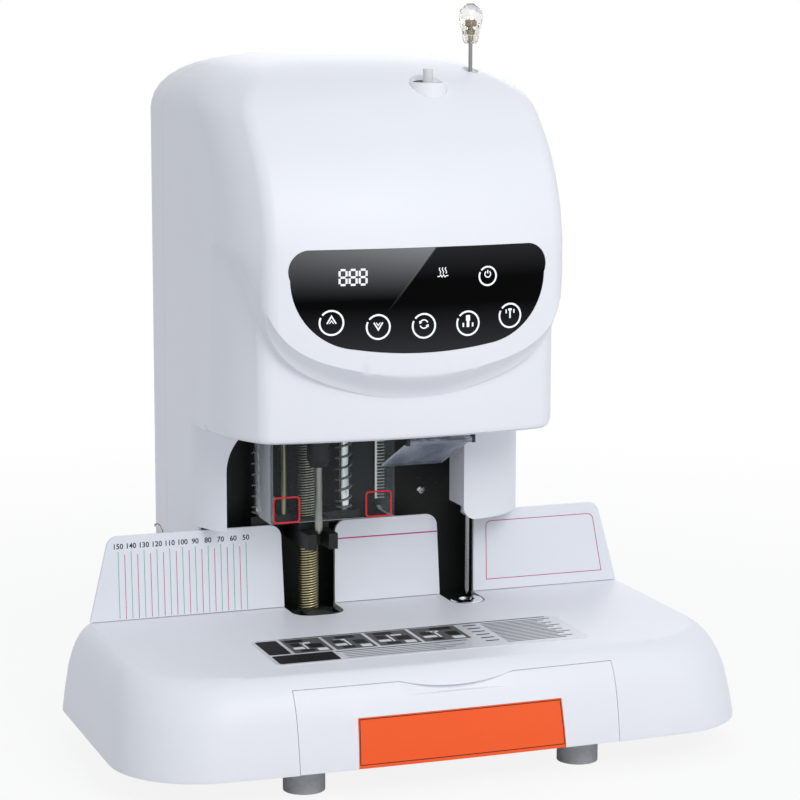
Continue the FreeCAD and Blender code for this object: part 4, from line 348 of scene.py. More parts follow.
@dataclass(frozen=True)
class TouchGlass(Finish):
    """Black glass with painted reflections and a painted highlight along a slanting line."""

    sheen: Colour = tint(134, 135, 137)
    # Colour of the painted lighter reflections at the foot and the crown.
    glow: Colour = tint(64, 64, 67)
    line_low: Pair = (-38.0, 316.0)
    line_high: Pair = (9.5, 374.5)
    sheen_span: Pair = (338.0, 376.0)
    inward_span: Pair = (-90.0, 5.0)
    rim_span: Pair = (330.0, 360.0)
    foot_span: Pair = (292.0, 334.0)
    crown_span: Pair = (352.0, 380.0)

    def shader(self, recipe: Recipe) -> Signal:
        """Paint the pale reflection over the black, left of the line and fading downwards, with a
        painted highlight on the line and lighter painted reflections at the foot and crown.
        """
        across, _, up = recipe.axes()
        slope = (self.line_high[0] - self.line_low[0]) / (self.line_high[1] - self.line_low[1])
        edge = (up - self.line_low[1] * METRE) * slope + self.line_low[0] * METRE
        left = (edge - across).over((0, 0.6))
        fade = up.over(self.sheen_span) ** 1.3
        # Painted highlight along the slanting line.
        rim = (1 - (edge - across).size().over((0, 0.9))) * up.over(self.rim_span)
        # Painted lighter reflections low on the glass and, right of the line, at its top.
        foot = 1 - up.over(self.foot_span)
        crown = (1 - left) * up.over(self.crown_span)
        dust = recipe.cloud(1.2, 5)
        inward = across.over(self.inward_span) * 0.45 + 0.6
        share = (left * fade * inward + rim * 0.5) * (0.94 + dust * 0.1)
        colour = recipe.blend(share.clipped(), self.colour, self.sheen)
        colour = recipe.blend(foot * 0.75, colour, self.glow)
        colour = recipe.blend(crown * 0.5, colour, self.glow)
        return recipe.gloss(
            Base_Color=colour, Roughness=0.07 + dust * 0.05, Specular_IOR_Level=0.03
        )


@dataclass(frozen=True)
class Metal(Finish):
    """Bare metal with tooling marks."""

    roughness: float = 0.25
    mark: float = 0.4
    stretch: Triple = (1.0, 1.0, 0.06)
    relief: float = 0.01
    tone: float = 0.12

    def shader(self, recipe: Recipe) -> Signal:
        """Draw the marks out along the tooling and vary tone and gloss with them."""
        marks = recipe.cloud(self.mark, 3, self.stretch)
        stain = recipe.cloud(24, 4)
        share = marks * 0.6 + stain * 0.4
        colour = recipe.shades(share, self.colour, 1 - self.tone, 1 + self.tone)
        return recipe.gloss(
            Base_Color=colour,
            Metallic=1.0,
            Roughness=self.roughness + (stain - 0.5) * 0.14,
            Normal=recipe.relief(marks, self.relief),
        )


@dataclass(frozen=True)
class ThreadSteel(Finish):
    """Lead screw steel, with painted shade in the grooves and brassy near the deck."""

    oil: Colour = tint(20, 22, 18)
    brassy: Colour = tint(222, 212, 160)
    brassy_span: Pair = (125.0, 175.0)

    def shader(self, recipe: Recipe) -> Signal:
        """Paint shade by the groove attribute and tint by height."""
        groove = recipe.node("ShaderNodeAttribute", {"attribute_name": "groove"}).out("Fac")
        up = recipe.axes()[2]
        grease = recipe.cloud(6, 4)
        warm = (1 - up.over(self.brassy_span)) * (0.55 + grease * 0.6)
        colour = recipe.blend(warm.clipped(), self.colour, self.brassy)
        # Painted shade: the deeper in a groove, the darker, and also rougher and less metallic.
        colour = recipe.blend((groove * 1.15).clipped(), colour, self.oil)
        return recipe.gloss(
            Base_Color=colour,
            Metallic=(1 - groove * 0.5).clipped(),
            Roughness=0.22 + groove * 0.4 + grease * 0.08,
            Normal=recipe.relief(recipe.cloud(0.5, 2, (1.0, 1.0, 0.2)), 0.01),
        )


@dataclass(frozen=True)
class Coating(Finish):
    """Sprayed or blackened metal with a fine orange peel and rubbed spots."""

    roughness: float = 0.45
    peel: float = 0.9
    relief: float = 0.02
    bare: Colour = tint(120, 122, 120)
    wear: float = 0.25

    def shader(self, recipe: Recipe) -> Signal:
        """Rub the coat through in small spots and give it its peel."""
        peel = recipe.cloud(self.peel, 2)
        rubbed = recipe.cloud(5, 6).ramp(0.66, 0.80) * self.wear
        tone = recipe.cloud(40, 3)
        colour = recipe.shades(tone, self.colour, 0.8, 1.25)
        colour = recipe.blend(rubbed, colour, self.bare)
        return recipe.gloss(
            Base_Color=colour,
            Metallic=rubbed,
            Roughness=self.roughness + (peel - 0.5) * 0.2,
            Specular_IOR_Level=0.3,
            Normal=recipe.relief(peel, self.relief),
        )


@dataclass(frozen=True)
class Rubber(Finish):
    """Moulded rubber, matt and a little dusty."""

    roughness: float = 0.75

    def shader(self, recipe: Recipe) -> Signal:
        """Dust the colour and roughen the skin."""
        dust = recipe.cloud(3, 5)
        colour = recipe.shades(dust, self.colour, 0.82, 1.2)
        return recipe.gloss(
            Base_Color=colour,
            Roughness=self.roughness + (dust - 0.5) * 0.15,
            Specular_IOR_Level=0.2,
            Normal=recipe.relief(recipe.cloud(0.7, 2), 0.03),
        )


@dataclass(frozen=True)
class ClearSheet(Finish):
    """Thin clear acrylic, with painted highlights on its edges and painted reflections in streaks.
    """

    veil: float = 0.10
    # Share of painted highlight on the faces square to one axis, which also turn paler.
    edge: float = 0.72
    edge_axis: int = 2
    mirror: float = 0.55
    scuffs: float = 0.05
    flank: float = 0.0
    flank_end: float = -40.0
    streaks: float = 0.0

    def shader(self, recipe: Recipe) -> Signal:
        """Mix clear and glossy by angle, by painted highlights on the sheet's edges and flanks, by
        scuffs and by painted reflection streaks.
        """
        normals = recipe.facing()
        # Painted highlight on the edges, and on the left flanks where asked: more gloss share and a
        # paler colour.
        edge = normals[self.edge_axis].size().above(0.8) * self.edge
        left = recipe.axes()[0].below(self.flank_end * METRE)
        edge = edge + normals[0].size().above(0.7) * left * self.flank
        # Painted reflections in streaks.
        reflection_streak = recipe.cloud(26, 2, (1.6, 0.3, 0.6)).ramp(0.46, 0.62) * self.streaks
        mirror = recipe.node("ShaderNodeFresnel", {}, {"IOR": 1.35})
        scuff = recipe.cloud(0.6, 5, (1.0, 1.0, 0.12))
        share = mirror * self.mirror + self.veil + edge
        share = share + scuff.ramp(0.5, 0.8) * self.scuffs + reflection_streak
        clear = recipe.node("ShaderNodeBsdfTransparent", {}, {"Color": (0.93, 0.95, 0.95, 1.0)})
        sheet = recipe.gloss(
            Base_Color=recipe.blend(edge.clipped(), self.colour, tint(236, 242, 244)),
            Roughness=0.08 + scuff * 0.1,
            Specular_IOR_Level=0.5,
        )
        return recipe.node("ShaderNodeMixShader", {}, {0: share.clipped(), 1: clear, 2: sheet})


@dataclass(frozen=True)
class CutGlass(Finish):
    """Clear faceted acrylic that shows what it holds."""

    cast_span: Pair = (516.5, 546.4)

    def shader(self, recipe: Recipe) -> Signal:
        """Make a clear solid with a faint warm cast that deepens downwards."""
        colour = recipe.blend(recipe.axes()[2].over(self.cast_span), self.colour, WHITE)
        return recipe.gloss(
            Base_Color=colour,
            Roughness=0.02 + recipe.cloud(2, 3) * 0.04,
            IOR=1.46,
            Transmission_Weight=0.94,
        )


@dataclass(frozen=True)
class Nylon(Finish):
    """Milky nylon tube."""

    def shader(self, recipe: Recipe) -> Signal:
        """Cloud the white and leave faint drawing lines along the tube."""
        lines = recipe.cloud(0.5, 2, (1.0, 1.0, 0.05))
        milk = recipe.cloud(8, 3)
        return recipe.gloss(
            Base_Color=recipe.blend(milk, scaled(self.colour, 0.95), self.colour),
            Roughness=0.3 + lines * 0.1,
            Transmission_Weight=0.15,
            Normal=recipe.relief(lines, 0.01),
        )


@dataclass(frozen=True)
class Ink(Finish):
    """Screen print, a little uneven."""

    roughness: float = 0.5
    specular: float = 0.15
    glow: float = 0.0

    def shader(self, recipe: Recipe) -> Signal:
        """Vary the ink's density, and light it where it is a lit symbol."""
        density = recipe.cloud(1.5, 4)
        colour = recipe.shades(density, self.colour, 0.93, 1.05)
        sockets = {
            "Base_Color": colour,
            "Roughness": self.roughness + density * 0.1,
            "Specular_IOR_Level": self.specular,
        }
        if self.glow:
            sockets |= {"Emission_Color": colour, "Emission_Strength": self.glow}
        return recipe.gloss(**sockets)


@dataclass(frozen=True)
class LabelFilm(Finish):
    """Printed film under a thin clear coat."""

    # Colour where the painted light is strongest.
    pale: Colour = tint(255, 255, 255)
    spread: float = 0.12
    grain: float = 2.5
    roughness: float = 0.3
    coat: float = 0.25

    def shader(self, recipe: Recipe) -> Signal:
        """Paint light across the print, paler towards the right and the back, and coat it."""
        across, along, _ = recipe.axes()
        # Painted light: the print grows paler towards the right and the back of the machine.
        painted_light_share = ((across + along * 0.6) / 0.24 + 0.5).clipped()
        speck = recipe.cloud(self.grain, 4)
        colour = recipe.blend((painted_light_share * self.spread + speck * 0.05).clipped(), self.colour, self.pale)
        return recipe.gloss(
            Base_Color=colour,
            Roughness=self.roughness + speck * 0.08,
            Coat_Weight=self.coat + speck * 0.1,
            Normal=recipe.relief(recipe.cloud(0.8, 2), 0.004),
        )


@dataclass(frozen=True)
class CircuitBoard(Finish):
    """Lacquered board with a faint copper pattern."""

    def shader(self, recipe: Recipe) -> Signal:
        """Show squared cells of copper through the lacquer."""
        cells = recipe.node(
            "ShaderNodeTexVoronoi",
            {"distance": "CHEBYCHEV", "feature": "F1"},
            {"Vector": recipe.place(), "Scale": 1 / (6 * METRE)},
        )
        copper = cells.below(0.22) + cells.above(0.46)
        return recipe.gloss(
            Base_Color=recipe.blend((copper * 0.6).clipped(), self.colour, tint(96, 140, 84)),
            Roughness=0.35 + copper * 0.1,
        )


class Palette(Enum):
    """Every finish of the machine."""

    SHELL = MouldedPlastic("shell_white", tint(243, 244, 249))
    TRAY = MouldedPlastic("tray_white", tint(243, 244, 249), soil=0.12)
    FENCE = MouldedPlastic("fence_white", tint(238, 240, 246), roughness=0.34)
    PORT = MouldedPlastic("port_white", tint(244, 245, 248), roughness=0.35)
    DARK = MouldedPlastic("socket_black", tint(42, 42, 45), roughness=0.38, mottle=0.08)
    RED = MouldedPlastic("dial_red", tint(206, 44, 44), roughness=0.28, mottle=0.05, specular=0.5)
    GLASS = TouchGlass("touch_glass", tint(3, 3, 4))
    CHROME = Metal("polished_chrome", tint(226, 228, 232), roughness=0.14, tone=0.05)
    STEEL = Metal("ground_steel", tint(196, 198, 200), roughness=0.3)
    BIT = Metal("bit_steel", tint(158, 158, 152), roughness=0.36, tone=0.12)
    NEEDLE = Metal("needle_steel", tint(142, 142, 145), roughness=0.26, tone=0.05)
    ALUMINIUM = Metal(
        "milled_aluminium", tint(205, 207, 210), roughness=0.38, stretch=(0.06, 1.0, 1.0)
    )
    BRASS = Metal("turned_brass", tint(206, 178, 104), roughness=0.3, stretch=(1.0, 1.0, 1.0))
    INSERT = Metal("knob_insert", tint(138, 128, 104), roughness=0.42, stretch=(1.0, 1.0, 1.0))
    PIN = Metal("oiled_pin", tint(160, 156, 130), roughness=0.34, stretch=(1.0, 1.0, 0.3))
    THREAD = ThreadSteel("lead_screw_steel", tint(226, 224, 206))
    # The rack's finish paints shade in the gaps between its teeth.
    RACK = ThreadSteel("rack_steel", tint(214, 214, 210), brassy=tint(214, 214, 210))
    FRAME = Coating("frame_black", tint(27, 33, 31))
    CARRIAGE = Coating("carriage_black", tint(40, 43, 43), roughness=0.4, wear=0.35)
    SPRING = Coating("spring_zinc", tint(168, 168, 166), roughness=0.35, wear=0.15)
    FOOT = Coating("foot_black", tint(30, 33, 32), roughness=0.42, wear=0.25)
    CUTTING_PAD = MouldedPlastic("cutting_pad", tint(58, 58, 56), roughness=0.5, mottle=0.1)
    FEET = Rubber("foot_rubber", tint(204, 205, 208))
    BELT = Rubber("belt_rubber", tint(34, 34, 34))
    # The guard and the visor carry painted highlights on their edges, the guard also on its left
    # flanks, and the visor painted reflection streaks.
    GUARD = ClearSheet(
        "guard_acrylic", tint(186, 190, 194), veil=0.02, mirror=0.35, scuffs=0.0, flank=0.72
    )
    VISOR = ClearSheet(
        "visor_acrylic", tint(176, 182, 196), veil=0.14, edge=0.7, edge_axis=0, streaks=0.4
    )
    KNOB = CutGlass("knob_acrylic", tint(226, 220, 208))
    TUBE = Nylon("tube_nylon", tint(240, 241, 238))
    # Both labels carry painted light that grows towards the right and the back.
    ORANGE = LabelFilm(
        "front_label_orange", tint(255, 88, 0), pale=tint(255, 104, 22), spread=0.5, coat=0.06
    )
    SILVER = LabelFilm(
        "deck_label_silver", tint(218, 219, 223), pale=tint(240, 241, 244), spread=0.6
    )
    BOARD = CircuitBoard("board_green", tint(18, 74, 44))
    WHITE_INK = Ink("panel_white", tint(238, 240, 242), glow=0.35)
    BLACK_INK = Ink("print_black", tint(18, 19, 23))
    GREY_INK = Ink("print_grey", tint(78, 80, 86))
    TILE_INK = Ink("print_tile", tint(92, 93, 95))
    LIGHT_INK = Ink("print_light", tint(236, 237, 238))
    GREEN_INK = Ink("print_green", tint(96, 180, 158))
    PINK_INK = Ink("print_pink", tint(198, 62, 122))
    RED_INK = Ink("print_red", tint(226, 58, 62))
    NUMBER_INK = Ink("print_number", tint(40, 42, 52))


# Mesh writing


@dataclass
class Shape:
    """Points and faces of a closed mesh that is put together from parts."""

    points: list[np.ndarray] = field(default_factory=list)
    faces: list[np.ndarray] = field(default_factory=list)
    count: int = 0
    crease: float = 38.0

    def add(self, points: np.ndarray, *faces: np.ndarray) -> "Shape":
        """Add one part and turn its faces outwards.

        Args:
            points: An (n, 3) array in millimetres.
            faces: Arrays of corner numbers, all triangles or all quadrilaterals in each.

        Returns:
            The shape itself.
        """
        volume = sum(self.volume(points, face) for face in faces)
        for face in faces:
            turned = face if volume >= 0 else face[:, ::-1]
            self.faces.append(turned + self.count)
        self.points.append(points)
        self.count += len(points)
        return self

    @staticmethod
    def volume(points: np.ndarray, faces: np.ndarray) -> float:
        """Give the signed volume under the faces, which is positive when they point out."""
        centre = points.mean(axis=0)
        corners = points[faces] - centre
        total = 0.0
        for second in range(1, faces.shape[1] - 1):
            cross = np.cross(corners[:, second], corners[:, second + 1])
            total += float(np.einsum("ij,ij->", corners[:, 0], cross))
        return total

    def sweep(self, rings: np.ndarray, loop: bool = False) -> "Shape":
        """Add the skin over a row of rings, capped at both ends or closed on itself.

        The skin is a function of two parameters: the first runs along the rings and the second
        round each of them. A cap is a fan from the mean point of its ring.

        Args:
            rings: An (n, m, 3) array of n rings with m points each.
            loop: Whether the last ring joins the first.

        Returns:
            The shape itself.
        """
        rows, columns, _ = rings.shape
        column = np.arange(columns)
        after = (column + 1) % columns
        row = np.arange(rows if loop else rows - 1)[:, None] * columns
        ahead = (row + columns) % (rows * columns)
        sides = np.stack((row + column, row + after, ahead + after, ahead + column), axis=-1)
        if loop:
            return self.add(rings.reshape(-1, 3), sides.reshape(-1, 4))
        return self.capped(rings, sides.reshape(-1, 4))

    def capped(self, rings: np.ndarray, sides: np.ndarray) -> "Shape":
        """Add rings and the faces between them, with a fan over each end."""
        rows, columns, _ = rings.shape
        column = np.arange(columns)
        after = (column + 1) % columns
        last = (rows - 1) * columns
        pole = np.full(columns, rows * columns)
        fans = np.concatenate(
            (
                np.stack((pole, after, column), axis=-1),
                np.stack((pole + 1, last + column, last + after), axis=-1),
            )
        )
        poles = (rings[0].mean(axis=0), rings[-1].mean(axis=0))
        return self.add(np.vstack((rings.reshape(-1, 3), *poles)), sides, fans)

    def build(self, name: str, finish: Palette, smooth: bool = True) -> bpy.types.Object:
        """Make the object.

        Args:
            name: The piece's name.
            finish: What it is dressed in.
            smooth: Whether its faces are shaded smooth where they are nearly in line.

        Returns:
            The object, at the origin.
        """
        mesh = bpy.data.meshes.new(name)
        faces = [face for part in self.faces for face in part.tolist()]
        mesh.from_pydata((np.vstack(self.points) * METRE).tolist(), [], faces)
        made = hold(name, mesh)
        mesh.materials.append(finish.value.material())
        if smooth:
            soften(mesh, self.crease)
        mesh.update()
        return made


def hold(name: str, data: bpy.types.ID) -> bpy.types.Object:
    """Put a mesh, text, lamp or camera into the scene."""
    made = bpy.data.objects.new(name, data)
    bpy.context.scene.collection.objects.link(made)
    return made


def read(mesh: bpy.types.Mesh) -> tuple[np.ndarray, np.ndarray]:
    """Give a mesh's points, in its own unit, and its triangles."""
    spots = np.empty(len(mesh.vertices) * 3)
    mesh.vertices.foreach_get("co", spots)
    mesh.calc_loop_triangles()
    faces = np.empty(len(mesh.loop_triangles) * 3, dtype=np.int32)
    mesh.loop_triangles.foreach_get("vertices", faces)
    return spots.reshape(-1, 3), faces.reshape(-1, 3).astype(np.int64)


def extent(node: str) -> tuple[np.ndarray, ...]:
    """Give a node's lowest and highest corner, in millimetres."""
    return tuple(np.array(corner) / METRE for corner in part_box(node))


def soften(mesh: bpy.types.Mesh, crease: float) -> None:
    """Shade a mesh smooth where its faces meet at less than an angle in degrees."""
    mesh.polygons.foreach_set("use_smooth", np.ones(len(mesh.polygons), dtype=bool))
    mesh.set_sharp_from_angle(angle=math.radians(crease))


def engrave(piece: bpy.types.Object, depth: np.ndarray) -> None:
    """Store for the shader how deep each point lies in a groove, from 0 to 1."""
    piece.data.attributes.new("groove", "FLOAT", "POINT").data.foreach_set("value", depth)


def polar(radius: np.ndarray | float, angle: np.ndarray, height: np.ndarray) -> np.ndarray:
    """Give the points (r cos a, r sin a, z) for values that fit each other's shapes."""
    across, along = radius * np.cos(angle), radius * np.sin(angle)
    return np.stack(np.broadcast_arrays(across, along, height), axis=-1)


def lathe(profile: Sequence[Pair], columns: int = 48) -> np.ndarray:
    """Turn a profile about the vertical axis.

    Args:
        profile: Radius and height of each ring, from one end to the other.
        columns: Points round each ring.

    Returns:
        The rings.
    """
    radius, height = np.array(profile, dtype=float).T
    angle = np.linspace(0, TURN, columns, endpoint=False)
    return polar(radius[:, None], angle, height[:, None])


def tube(path: np.ndarray, radius: float, columns: int = 10) -> np.ndarray:
    """Carry a circle along a path.

    The circle stands square to the path. Its first axis is the part of the outward direction from
    the path's own middle line that is square to the path.

    Args:
        path: An (n, 3) array.
        radius: The circle's radius.
        columns: Points round the circle.

    Returns:
        The rings.
    """
    along = np.gradient(path, axis=0)
    along /= np.linalg.norm(along, axis=1, keepdims=True)
    out = path - path.mean(axis=0)
    out[:, 2] = 0
    out -= along * np.einsum("ij,ij->i", out, along)[:, None]
    out /= np.linalg.norm(out, axis=1, keepdims=True)
    side = np.cross(along, out)
    angle = np.linspace(0, TURN, columns, endpoint=False)
    ring = out[:, None] * np.cos(angle)[:, None] + side[:, None] * np.sin(angle)[:, None]
    return path[:, None] + radius * ring


# Surfaces that print lies on: u and v are the lengths along the surface, w is the height over it


@dataclass(frozen=True)
class DeckPlane:
    """Level surface: u is X and v is Y."""

    level: float

    def place(self, u: np.ndarray, v: np.ndarray, w: np.ndarray) -> np.ndarray:
        """Give the points at height w over the level."""
        return np.stack((u, v, self.level + w), axis=-1)


@dataclass(frozen=True)
class FrontPlane:
    """Upright surface that faces the operator: u is X and v is Z."""

    depth: float

    def place(self, u: np.ndarray, v: np.ndarray, w: np.ndarray) -> np.ndarray:
        """Give the points at w in front of the plane."""
        return np.stack((u, np.broadcast_to(self.depth - w, u.shape), v), axis=-1)


@dataclass(frozen=True)
class SidePlane:
    """Upright surface that faces left: u is Y and v is Z."""

    across: float

    def place(self, u: np.ndarray, v: np.ndarray, w: np.ndarray) -> np.ndarray:
        """Give the points at w outside the plane."""
        return np.stack((np.broadcast_to(self.across - w, u.shape), u, v), axis=-1)


@dataclass(frozen=True)
class LeaningPlane:
    """Front of the leaning fences: u is X and v is the height Z."""

    foot_y: float
    foot_z: float
    lean: float

    def place(self, u: np.ndarray, v: np.ndarray, w: np.ndarray) -> np.ndarray:
        """Give the points: Y grows with the height, and w goes square to the plane."""
        slope = math.tan(math.radians(self.lean))
        y = self.foot_y + (v - self.foot_z) * slope
        back = math.cos(math.radians(self.lean))
        rise = math.sin(math.radians(self.lean))
        return np.stack((u, y - w * back, v + w * rise), axis=-1)


@dataclass(frozen=True)
class BowedFace:
    """Front of the head, a wide upright cylinder: u is X and v is Z."""

    front: float
    bow: float
    half_chord: float

    def place(self, u: np.ndarray, v: np.ndarray, w: np.ndarray) -> np.ndarray:
        """Give the points on the arc through the front and its two named side points."""
        radius = (self.half_chord**2 + self.bow**2) / (2 * self.bow)
        y = self.front + radius - np.sqrt(radius**2 - u**2)
        return np.stack((u, y - w, v), axis=-1)


@dataclass(frozen=True)
class NodeFront:
    """Bowed and flared front of a node: u is X and v is Z."""

    node: str
    unit: float = 50.0
    facing: float = -0.5

    def terms(self, u: np.ndarray, v: np.ndarray) -> np.ndarray:
        """Give the powers that the front is fitted with: a cubic in Z and the square of X."""
        height, across = v / self.unit, u / self.unit
        return np.stack((np.ones_like(v), height, height**2, height**3, across**2), axis=-1)

    def place(self, u: np.ndarray, v: np.ndarray, w: np.ndarray) -> np.ndarray:
        """Give the points, with Y from the powers that fit the node's front corners best."""
        spots, faces = read(frame["nodes"][self.node].data)
        corners = spots[faces] / METRE
        normals = np.cross(corners[:, 1] - corners[:, 0], corners[:, 2] - corners[:, 0])
        normals /= np.linalg.norm(normals, axis=1, keepdims=True) + 1e-9
        ahead = corners[normals[:, 1] < self.facing].reshape(-1, 3)
        fit = np.linalg.lstsq(self.terms(ahead[:, 0], ahead[:, 2]), ahead[:, 1], rcond=None)[0]
        return np.stack((u, self.terms(u, v) @ fit - w, v), axis=-1)


Surface = DeckPlane | FrontPlane | SidePlane | LeaningPlane | BowedFace | NodeFront


@dataclass
class Print:
    """Thin raised print on one surface."""

    surface: Surface
    proud: float = 0.12
    sunk: float = 0.05
    shape: Shape = field(default_factory=Shape)

    def stroke(self, path: Sequence[Pair], width: float, loop: bool = False) -> "Print":
        """Draw a line of even width.

        Each path point is moved sideways by half the width, along the bisector of its corner and
        further out by one over the cosine of half the bend, and the strip gets its thickness
        across the surface.

        Args:
            path: Points on the surface.
            width: The line's width.
            loop: Whether the last point joins the first.

        Returns:
            The print itself.
        """
        line = np.array(path, dtype=float)
        ahead = np.roll(line, -1, axis=0) - line
        if not loop:
            ahead[-1] = ahead[-2]
        ahead /= np.linalg.norm(ahead, axis=1, keepdims=True)
        behind = np.roll(ahead, 1, axis=0)
        if not loop:
            behind[0] = ahead[0]
        side = np.stack((-(ahead + behind)[:, 1], (ahead + behind)[:, 0]), axis=-1)
        side /= np.linalg.norm(side, axis=1, keepdims=True)
        lean = np.einsum("ij,ij->i", side, np.stack((-ahead[:, 1], ahead[:, 0]), axis=-1))
        side *= (width / 2 / np.maximum(lean, 0.35))[:, None]
        flat = np.stack((line + side, line - side, line - side, line + side), axis=1)
        return self.lift(flat, np.array((self.proud, self.proud, -self.sunk, -self.sunk)), loop)

    def lift(self, flat: np.ndarray, heights: np.ndarray, loop: bool) -> "Print":
        """Put rings of flat points onto the surface at the given heights."""
        w = np.broadcast_to(heights, flat.shape[:2])
        self.shape.sweep(self.surface.place(flat[..., 0], flat[..., 1], w), loop)
        return self

    def patch(self, outline: Sequence[Pair]) -> "Print":
        """Fill an outline that can be seen whole from its middle."""
        flat = np.repeat(np.array(outline, dtype=float)[None], 2, axis=0)
        heights = np.array((-self.sunk, self.proud))[:, None]
        return self.lift(flat, heights, False)

    def block(
        self, low: Pair, high: Pair, corner: float = 0.0
    ) -> "Print":
        """Fill a rectangle with round corners."""
        return self.patch(rounded(low, high, corner))

    def arc(
        self, centre: Pair, radius: float, start: float, end: float, width: float
    ) -> "Print":
        """Draw an arc between two angles in degrees."""
        return self.stroke(bend(centre, radius, start, end), width)

    def head(
        self, centre: Pair, radius: float, angle: float, length: float, half: float
    ) -> "Print":
        """Draw an arrow head on an arc, clockwise where its length is below 0."""
        tip = math.radians(angle)
        side = np.array((math.cos(tip), math.sin(tip)))
        nose = np.array(centre) + radius * side
        ahead = np.array((-side[1], side[0])) * length
        return self.patch((nose + ahead, nose + side * half, nose - side * half))

    def piece(self, name: str, finish: Palette, body: str = "machine") -> bpy.types.Object:
        """Make the print a piece that rides on a body."""
        return settle(self.shape.build(name, finish, smooth=False), body)


def bend(
    centre: Pair, radius: float, start: float, end: float, steps: int = 0
) -> np.ndarray:
    """Give points on an arc, about one for each six degrees unless told."""
    count = steps or max(4, int(abs(end - start) / 6))
    angle = np.radians(np.linspace(start, end, count + 1))
    return np.array(centre) + radius * np.stack((np.cos(angle), np.sin(angle)), axis=-1)


def rounded(low: Pair, high: Pair, corner: float) -> np.ndarray:
    """Give the outline of a rectangle with round corners."""
    if corner <= 0:
        return np.array((low, (high[0], low[1]), high, (low[0], high[1])))
    left, bottom = low[0] + corner, low[1] + corner
    right, top = high[0] - corner, high[1] - corner
    return np.vstack(
        (
            bend((right, top), corner, 0, 90, 6),
            bend((left, top), corner, 90, 180, 6),
            bend((left, bottom), corner, 180, 270, 6),
            bend((right, bottom), corner, 270, 360, 6),
        )
    )


def weld(mesh: bpy.types.Mesh, reach: float = 0.002) -> None:
    """Join a mesh's corners that lie within a reach, in millimetres, of each other."""
    tidy = bmesh.new()
    tidy.from_mesh(mesh)
    bmesh.ops.remove_doubles(tidy, verts=tidy.verts, dist=reach * METRE)
    tidy.to_mesh(mesh)
    tidy.free()


def settle(
    piece: bpy.types.Object, body: str, replaced: Iterable[str] = ()
) -> bpy.types.Object:
    """Let a piece ride on its body and hide what it stands for.

    Args:
        piece: The finished object.
        body: The body that carries it.
        replaced: The nodes that it stands for.

    Returns:
        The piece.
    """
    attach(piece, body)
    names = tuple(replaced)
    if names:
        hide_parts(*names)
    LOG.info("%s: %d faces on %s", piece.name, len(piece.data.polygons), body)
    return piece


# Sub-assemblies


@dataclass
class Castings:
    """The nodes that keep their shape, and what each is dressed in."""

    dress: Mapping[Palette, tuple[str, ...]] = field(
        default_factory=lambda: {
            Palette.SHELL: ("front_cover", "rear_cover"),
            Palette.TRAY: ("base_cover", "scrap_drawer"),
            Palette.FENCE: ("paper_fences",),
            Palette.PORT: ("feed_port_ring",),
            Palette.DARK: ("power_inlet", "switch_frame", "switch_rocker"),
            Palette.RED: ("side_knob",),
            Palette.CUTTING_PAD: ("drill_pad",),
            Palette.GLASS: ("control_glass",),
            Palette.CHROME: ("guide_rods", "lower_die", "press_ram"),
            Palette.BIT: ("hollow_bit",),
            Palette.NEEDLE: ("needle",),
            Palette.STEEL: (
                "foot_screws", "bed_posts", "screw_bearings", "gear_motors", "spindle_bearings",
                "drill_motor", "spindle", "needle_bushing", "upper_die",
            ),
            Palette.ALUMINIUM: (
                "ram_bracket", "spindle_pulley", "motor_pulley", "press_arm", "power_supply",
            ),
            Palette.BRASS: ("rod_bushings", "lift_nut"),
            Palette.PIN: ("foot_pin",),
            Palette.THREAD: ("press_screw",),
            Palette.FRAME: ("base_plate", "bed_plate", "column_frame", "top_plate", "die_block"),
            Palette.CARRIAGE: ("carriage_block", "motor_bracket", "chuck", "visor_hinge"),
            Palette.FOOT: ("press_foot",),
            Palette.FEET: ("rubber_feet",),
            Palette.BELT: ("drive_belt",),
            Palette.GUARD: ("acrylic_guard",),
            Palette.VISOR: ("visor",),
            Palette.TUBE: ("feed_tube", "tube_stock"),
            Palette.ORANGE: ("drawer_label",),
            Palette.SILVER: ("deck_label",),
            Palette.BOARD: ("control_board", "main_board"),
        }
    )
    round_nodes: tuple[str, ...] = (
        "front_cover", "rear_cover", "base_cover", "scrap_drawer", "control_glass", "press_foot",
        "rubber_feet", "foot_screws", "side_knob", "feed_port_ring", "feed_tube", "tube_stock",
        "needle_bushing", "needle", "chuck", "hollow_bit", "spindle", "lower_die", "upper_die",
        "press_ram", "guide_rods", "foot_pin", "carriage_block", "paper_fences", "die_block",
        "drill_pad", "press_screw", "drill_motor", "power_inlet", "switch_frame",
    )
    crease: float = 30.0

    def finish(self) -> None:
        """Put each finish on its nodes."""
        for finish, names in self.dress.items():
            for name in names:
                self.coat(frame["nodes"][name], finish.value.material())
                LOG.info("%s: %s", name, finish.value.name)
                if name in self.round_nodes:
                    self.skin(name, finish)

    def skin(self, name: str, finish: Palette) -> None:
        """Stand a smoothly shaded double in for a node.

        The double has the node's own points and faces, joined at their corners, and its normals
        are weighted by area, so that a flat face stays flat beside a round one.
        """
        node = frame["nodes"][name]
        spots, faces = read(node.data)
        double = Shape().add(spots / METRE, faces).build(f"{name}_skin", finish, smooth=False)
        weld(double.data)
        soften(double.data, self.crease)
        double.modifiers.new("even_normals", "WEIGHTED_NORMAL").keep_sharp = True
        settle(double, body_of(node)[0], (name,))

    @staticmethod
    def slot_of(name: str) -> str:
        """Look up the material slot that the record gives a node."""
        return next(
            part["material_slot"]
            for part in frame["record"]["subparts"]
            if part["node"] == name
        )

    @staticmethod
    def coat(node: bpy.types.Object, material: bpy.types.Material) -> None:
        """Fill a node's material slots."""
        if not node.material_slots:
            node.data.materials.append(material)
        for held in node.material_slots:
            held.material = material


